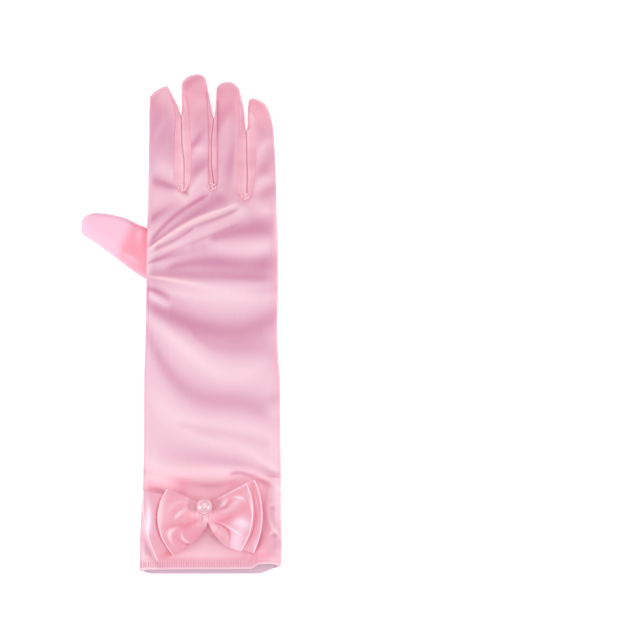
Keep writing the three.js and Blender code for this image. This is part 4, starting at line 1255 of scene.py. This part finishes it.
def build_stitches():
    """The row of upright stitches that holds the hem, on the front."""
    threads = Threads()
    for number in range(int((STITCH_TO - STITCH_FROM) / STITCH_PITCH)):
        x = STITCH_FROM + SIDE_WIDTH + number * STITCH_PITCH + 0.12 * math.sin(number * 2.4)
        y = float(MOUTH_UPPER(x)) + np.linspace(*STITCH_BAND, STITCH_POINTS)
        left = HAND_LEFT(y) + SIDE_WIDTH
        across = (x - left) / (HAND_RIGHT(y) - HAND_LEFT(y) - 2 * SIDE_WIDTH)
        z = HAND_THICK(y) + HAND_CROWN * (1 - (2 * across - 1) ** 2)
        z = z + fold_height(np.full(STITCH_POINTS, x), y)
        down_side = np.arcsin(np.clip((left - x) / SIDE_WIDTH, 0, 1))
        z = np.where(across < 0, HAND_THICK(y) / 2 * (1 + np.cos(down_side)), z)
        radii = STITCH_RADIUS * np.sin(np.linspace(0.12, math.pi - 0.12, STITCH_POINTS)) ** 0.5
        threads.add(np.column_stack([np.full(STITCH_POINTS, x), y, z]), radii, 0.8)
    return threads.make("hem_stitches", 0.78, 0.25)


def build_crotch_stitches():
    """Crossed threads that close each strip at its lower end."""
    t = np.linspace(0, 1, THREAD_POINTS)
    radii = THREAD_RADIUS * np.sqrt(np.clip(arch(t), 0.15, 1))
    threads = Threads()
    for _, seam_x, seam_y, _, _ in SLOTS:
        for from_x, from_y, to_x, to_y in CROTCH_THREADS:
            x, y = seam_x + mix(from_x, to_x, t), seam_y + mix(from_y, to_y, t)
            z = HAND_THICK(y) + 0.45 + 0.55 * arch(t)
            threads.add(np.column_stack([x, y, z]), radii)
    return threads.make("crotch_stitches", -0.25, 0.05)


def build_bow(bow, name):
    """A ribbon ring folded flat at both ends and gathered in its middle, with its pleats."""
    top, bottom, back, opening = (Curve(bow["sections"], column) for column in (1, 2, 3, 4))

    def place(across, row, front, inset, out):
        side = np.where(across < 0, -1, 1)
        ends = np.where((across < 0)[:, None], bow["ends"][-1], bow["ends"][1])
        straight = mix(ends[:, 0], ends[:, 2], row)
        reach = side * (straight + (ends[:, 1] - (ends[:, 0] + ends[:, 2]) / 2) * arch(row))
        x = BOW_X + np.abs(across) * reach + out * side * (BOW_FOLD_WIDTH - inset)
        y = BOW_Y + mix(bottom(across), top(across), row)
        low = bow["base"] + back(across)
        edge = min(row, 1 - row)
        relief = BOW_RELIEF * dented(bow["dents"], x, y)[0] * float(ease(edge * 12 + 0.2))
        high = low + 1.0 + opening(across) + np.clip(relief, -0.6, 0.9)
        return np.column_stack([x, y, mix(low + inset, high - inset, front)])

    def around(row, inset):
        fold_turn = np.arange(1, BOW_FOLD_CELLS) / BOW_FOLD_CELLS
        front = np.linspace(-1, 1, BOW_CELLS + 1)
        behind = np.linspace(1, -1, BOW_BACK_CELLS + 1)
        ones = np.ones(BOW_FOLD_CELLS - 1)
        upright = (1 + np.cos(math.pi * fold_turn)) / 2
        out = np.sin(math.pi * fold_turn)
        return np.vstack([
            place(front, row, 1.0, inset, 0.0),
            place(ones, row, upright, inset, out),
            place(behind, row, 0.0, inset, 0.0),
            place(-ones, row, upright, inset, out)[::-1],
        ])

    cloth = Cloth()
    rows = []
    for row in np.linspace(0, 1, BOW_ROWS + 1):
        outer, inner = around(row, 0.0), around(row, RIBBON_WALL)
        # Painted shade and sheen of the pleats, and a painted highlight on both folded ends
        shade = bow["level"] + dented(bow["dents"], outer[:, 0], outer[:, 1])[1]
        turns = BOW_FOLD_CELLS - 1
        shade[BOW_CELLS + 1:BOW_CELLS + 1 + turns] = EDGE_SHADE
        shade[-turns:] = EDGE_SHADE
        # Painted highlights on the right loop's long edges; a painted peach highlight on the lightest ribbon,
        # not its right end
        rim = bow["rim"] * bell(min(row, 1 - row), 0, BOW_RIM_WIDTH) * (1.0 if row > 0.5 else 0.4)
        shade = mix(shade, EDGE_SHADE, rim * rise(outer[:, 0], BOW_X + 4, 4))
        lit = np.clip(bow["level"] - shade - 0.1, 0, 1) * rise(outer[:, 0], 28, -8)
        rows.append(cloth.row(outer, inner, np.clip(shade, -0.45, 1.2), -bow["peach"] * lit))
    join_rings(cloth, rows)
    return cloth.make(name)


def build_knot():
    """The gathered wrap round the middle of both bows."""
    middle, half_height = (KNOT["top"] + KNOT["bottom"]) / 2, (KNOT["top"] - KNOT["bottom"]) / 2
    power = 2 / KNOT_SQUARENESS
    angle = 2 * math.pi * (np.arange(KNOT_CELLS) + 0.5) / KNOT_CELLS
    sine, cosine = np.sin(angle), np.cos(angle)
    cloth = Cloth()
    rows = []
    for share in np.linspace(-1, 1, KNOT_STEPS + 1):
        gathers = math.cos(share * KNOT_GATHERS)
        x = KNOT["x"] + share * KNOT["half_width"] * (1 - 0.3 * np.clip(sine, 0, 1))
        layers = []
        for inset, relief in ((0.0, 0.16 * gathers), (WRAP_WALL, 0.0)):
            y = KNOT["y"] + (KNOT["half_length"] - inset) * np.sign(cosine) * np.abs(cosine) ** power
            z = middle + (half_height - inset + relief) * np.sign(sine) * np.abs(sine) ** power
            layers.append(np.column_stack([x, y, z]))
        # Painted sheen and shade in bands across the gathers, with half the painted peach tint of crests
        rows.append(cloth.row(*layers, 0.06 - 0.12 * gathers, -0.5))
    join_rings(cloth, rows)
    return cloth.make("bow_knot_wrap")


def build_pearl():
    bpy.ops.object.select_all(action="DESELECT")
    place = [value * MM for value in PEARL_PLACE]
    bpy.ops.mesh.primitive_uv_sphere_add(segments=64, ring_count=32, radius=PEARL_RADIUS * MM, location=place)
    bead = bpy.context.active_object
    bead.name = "pearl_bead"
    bpy.ops.object.transform_apply(location=True, rotation=True, scale=True)
    bpy.ops.object.shade_smooth()
    return bead


class Socket:
    """A value on its way through a shader, with the usual sums."""

    def __init__(self, maker, socket):
        self.maker, self.socket = maker, socket

    def math(self, operation, *values):
        return self.maker.node("ShaderNodeMath", {"operation": operation}, dict(enumerate(values)))

    def __add__(self, other):
        return self.math("ADD", self, other)

    __radd__ = __add__

    def __mul__(self, other):
        return self.math("MULTIPLY", self, other)

    __rmul__ = __mul__

    def __sub__(self, other):
        return self.math("SUBTRACT", self, other)

    def __rsub__(self, other):
        return self.math("SUBTRACT", other, self)

    def size(self):
        return self.math("ABSOLUTE", self)

    def ranged(self, low, high, interpolation="LINEAR"):
        """0 at a low value and 1 at a high one, held beyond both."""
        settings = {"clamp": True, "interpolation_type": interpolation}
        return self.maker.node("ShaderNodeMapRange", settings, {0: self, 1: low, 2: high, 3: 0.0, 4: 1.0})


class Maker:
    """Builds one material."""

    def __init__(self, name):
        self.material = bpy.data.materials.new(name)
        self.material.use_nodes = True
        self.tree = self.material.node_tree
        self.shader = self.tree.nodes["Principled BSDF"]

    def node(self, kind, settings, inputs, output=0):
        """A node of a type, with its settings, then the values or links of its sockets."""
        made = self.tree.nodes.new(kind)
        for key, value in settings.items():
            setattr(made, key, value)
        self.put(made, inputs)
        return Socket(self, made.outputs[output])

    def put(self, node, inputs):
        for key, value in inputs.items():
            if isinstance(value, Socket):
                self.tree.links.new(value.socket, node.inputs[key])
            else:
                node.inputs[key].default_value = value

    def blend(self, share, low, high):
        """A colour between two."""
        settings = {"data_type": "RGBA", "clamp_factor": False}
        return self.node("ShaderNodeMix", settings, {"Factor": share, "A": low, "B": high}, "Result")

    def facing(self):
        """How far the surface faces across, along and up."""
        normal = self.node("ShaderNodeNewGeometry", {}, {}, "Normal")
        across = self.node("ShaderNodeSeparateXYZ", {}, {0: normal})
        return [Socket(self, output) for output in across.socket.node.outputs]

    def attribute(self, name):
        return self.node("ShaderNodeAttribute", {"attribute_name": name}, {}, "Fac")

    def noise(self, scale, detail, stretch=(1, 1, 1)):
        place = self.node("ShaderNodeTexCoord", {}, {}, "Object")
        place = self.node("ShaderNodeMapping", {}, {"Vector": place, "Scale": stretch})
        return self.node("ShaderNodeTexNoise", {}, {"Vector": place, "Scale": scale, "Detail": detail}, "Fac")


def satin_material(name, bright, fold_shade_colour, reverse, turned):
    """Satin with painted sheen where it is level and painted shade where it is turned, with a matt reverse.
    """
    colours = bpy.context.scene.glove_colours
    maker = Maker(name)
    across, along, _ = maker.facing()
    # Painted shade where the surface tilts across or along, as far as turned asks
    tilt_shade = (across.size() * turned + along.size() * turned).ranged(0.05, 0.9, "SMOOTHSTEP")
    drift = maker.noise(38, 3)
    threads = maker.noise(1500, 2, (1, 0.05, 1))
    warmth = maker.attribute("warmth")
    slope = maker.attribute("shade") + tilt_shade + (drift - 0.5) * 0.05
    cloth = maker.blend(slope, tuple(bright), tuple(fold_shade_colour))
    cloth = maker.blend(warmth.ranged(0.0, 1.0), cloth, tuple(colours.coral_glow))
    cloth = maker.blend(warmth.ranged(0.0, -1.0), cloth, tuple(colours.peach))
    cloth = maker.blend((threads - 0.45).ranged(0.0, 0.4, "SMOOTHSTEP") * 0.04, cloth, (1, 0.86, 0.9, 1))
    cloth = maker.blend(maker.attribute("reverse") * 0.9, cloth, tuple(reverse))
    weave = {"Strength": bpy.context.scene.glove_cloth.weave_bump, "Distance": 0.0002, "Height": threads}
    maker.put(maker.shader, {
        "Base Color": cloth, "Roughness": 0.34 + drift * 0.16,
        "Normal": maker.node("ShaderNodeBump", {}, weave, "Normal"),
        "Specular IOR Level": 0.5, "Sheen Weight": 0.12, "Sheen Roughness": 0.4,
        # A faint pink glow in all satin, lifting its shadows: painted light from no lamp
        "Emission Color": (1, 0.25, 0.4, 1), "Emission Strength": 0.1,
    })
    return maker.material


def glove_satin(name):
    colours = bpy.context.scene.glove_colours
    return satin_material(name, colours.bright, colours.fold_shade_colour, colours.lining, 0.15)


def thumb_satin():
    colours = bpy.context.scene.glove_colours
    return satin_material("thumb satin", colours.thumb, colours.fold_shade_colour, colours.lining, 0.1)


def ribbon_satin():
    colours = bpy.context.scene.glove_colours
    return satin_material("ribbon satin", colours.ribbon, colours.ribbon_fold_shade, colours.thumb, 0.0)


def pearl_material():
    colours = bpy.context.scene.glove_colours
    maker = Maker("pearl lacquer")
    _, _, up = maker.facing()
    cloud = maker.noise(260, 3)
    # Painted shade on the bead's rim, where it turns away from the light above
    rim = (1.0 - up).ranged(0.1, 1.0, "SMOOTHSTEP")
    maker.put(maker.shader, {
        "Base Color": maker.blend(rim * 0.55 + cloud * 0.12, tuple(colours.pearl), tuple(colours.pearl_rim_shade)),
        "Roughness": 0.16 + cloud * 0.05, "Specular IOR Level": 0.5,
        "Coat Weight": 1.0, "Coat IOR": 2.2, "Coat Roughness": 0.1,
    })
    return maker.material


class GLOVE_OT_trank(bpy.types.Operator):
    """Sews the back and palm of the glove"""

    bl_idname = "glove.trank"
    bl_label = "Back and palm"

    def execute(self, context):
        finish_piece(build_trank(Relief()), "trank", glove_satin("glove satin"))
        return {"FINISHED"}


class GLOVE_OT_fourchettes(bpy.types.Operator):
    """Sews the strips between the fingers"""

    bl_idname = "glove.fourchettes"
    bl_label = "Finger strips"

    def execute(self, context):
        relief = Relief()
        material = glove_satin("strip satin")
        for index, (node, *_) in enumerate(SLOTS):
            finish_piece(build_fourchette(index, relief), node, material)
        finish_piece(build_crotch_stitches(), None, material)
        return {"FINISHED"}


class GLOVE_OT_thumb(bpy.types.Operator):
    """Sews the thumb"""

    bl_idname = "glove.thumb"
    bl_label = "Thumb"

    def execute(self, context):
        finish_piece(build_thumb(), "thumb", thumb_satin())
        return {"FINISHED"}


class GLOVE_OT_hem(bpy.types.Operator):
    """Turns in the hem and stitches it"""

    bl_idname = "glove.hem"
    bl_label = "Hem"

    def execute(self, context):
        material = glove_satin("hem satin")
        finish_piece(build_hem(Relief()), "cuff_hem", material)
        finish_piece(build_stitches(), None, material)
        return {"FINISHED"}


class GLOVE_OT_bows(bpy.types.Operator):
    """Folds both bows and wraps their knot"""

    bl_idname = "glove.bows"
    bl_label = "Bows"

    def execute(self, context):
        material = ribbon_satin()
        lower = finish_piece(build_bow(BOW_LOWER, "ribbon_bow_lower"), "bow_lower", material)
        upper = finish_piece(build_bow(BOW_UPPER, "ribbon_bow_upper"), "bow_upper", material)
        finish_piece(build_knot(), "bow_knot", material)
        return {"FINISHED"}


class GLOVE_OT_pearl(bpy.types.Operator):
    """Sews on the pearl"""

    bl_idname = "glove.pearl"
    bl_label = "Pearl"

    def execute(self, context):
        finish_piece(build_pearl(), "pearl", pearl_material())
        return {"FINISHED"}


# Soft boxes: name, place, size in metres and power in watts
SOFT_BOXES = (
    ("left box", (-1.15, -0.3, 0.55), 0.8, 6),
    ("right box", (1.25, -0.4, 0.75), 0.5, 6),
    ("top box", (0.2, 0.5, 1.9), 2.6, 16.4),
)
FLOOR_DROP = 0.0004
CAMERA_PLACE = (0.08265, 0.0021, 1.61)


class GLOVE_OT_stage(bpy.types.Operator):
    """Lays the pale floor and sets the soft boxes, the white surroundings and the camera"""

    bl_idname = "glove.stage"
    bl_label = "Stage"

    def execute(self, context):
        bpy.ops.object.select_all(action="DESELECT")
        bpy.ops.mesh.primitive_plane_add(size=6, location=(0, 0, -FLOOR_DROP))
        floor = bpy.context.active_object
        floor.name = "studio_floor"
        maker = Maker("pale floor")
        maker.put(maker.shader, {"Base Color": (0.93, 0.93, 0.93, 1), "Roughness": 0.9,
                                 "Emission Color": (1, 1, 1, 1), "Emission Strength": 0.5})
        floor.data.materials.append(maker.material)
        for name, place, size, power in SOFT_BOXES:
            bpy.ops.object.light_add(type="AREA", location=place)
            lamp = bpy.context.active_object
            lamp.name = name
            lamp.data.shape = "DISK"
            lamp.data.size = size
            lamp.data.energy = power
            lamp.rotation_euler = (-Vector(place)).to_track_quat("-Z", "Y").to_euler()
        world = bpy.data.worlds.new("studio")
        bpy.context.scene.world = world
        world.use_nodes = True
        background = world.node_tree.nodes["Background"]
        background.inputs["Color"].default_value = (1, 0.99, 0.99, 1)
        background.inputs["Strength"].default_value = 0.52
        bpy.ops.object.camera_add(location=CAMERA_PLACE, rotation=(0, 0, 0))
        camera = bpy.context.active_object
        camera.data.lens = 150
        camera.data.sensor_width = 36
        camera.data.clip_end = 20
        bpy.context.scene.camera = camera
        bpy.context.scene.view_settings.view_transform = "Standard"
        return {"FINISHED"}


class GLOVE_PT_sidebar(bpy.types.Panel):
    bl_idname = "GLOVE_PT_sidebar"
    bl_label = "Satin glove"
    bl_space_type = "VIEW_3D"
    bl_region_type = "UI"
    bl_category = "Glove"

    def draw(self, context):
        for operator in OPERATORS:
            self.layout.operator(operator.bl_idname)
        for group in (context.scene.glove_cloth, context.scene.glove_colours):
            for name in group.bl_rna.properties.keys():
                if name not in {"rna_type", "name"}:
                    self.layout.prop(group, name)


OPERATORS = (
    GLOVE_OT_trank, GLOVE_OT_fourchettes, GLOVE_OT_thumb, GLOVE_OT_hem,
    GLOVE_OT_bows, GLOVE_OT_pearl, GLOVE_OT_stage,
)
CLASSES = (GloveCloth, GloveColours, *OPERATORS, GLOVE_PT_sidebar)


def register():
    for each in CLASSES:
        bpy.utils.register_class(each)
    bpy.types.Scene.glove_cloth = bpy.props.PointerProperty(type=GloveCloth)
    bpy.types.Scene.glove_colours = bpy.props.PointerProperty(type=GloveColours)


def unregister():
    del bpy.types.Scene.glove_cloth
    del bpy.types.Scene.glove_colours
    for each in reversed(CLASSES):
        bpy.utils.unregister_class(each)


def main():
    register()
    for operator in OPERATORS:
        group, name = operator.bl_idname.split(".")
        getattr(getattr(bpy.ops, group), name)()


if __name__ == "__main__":
    main()
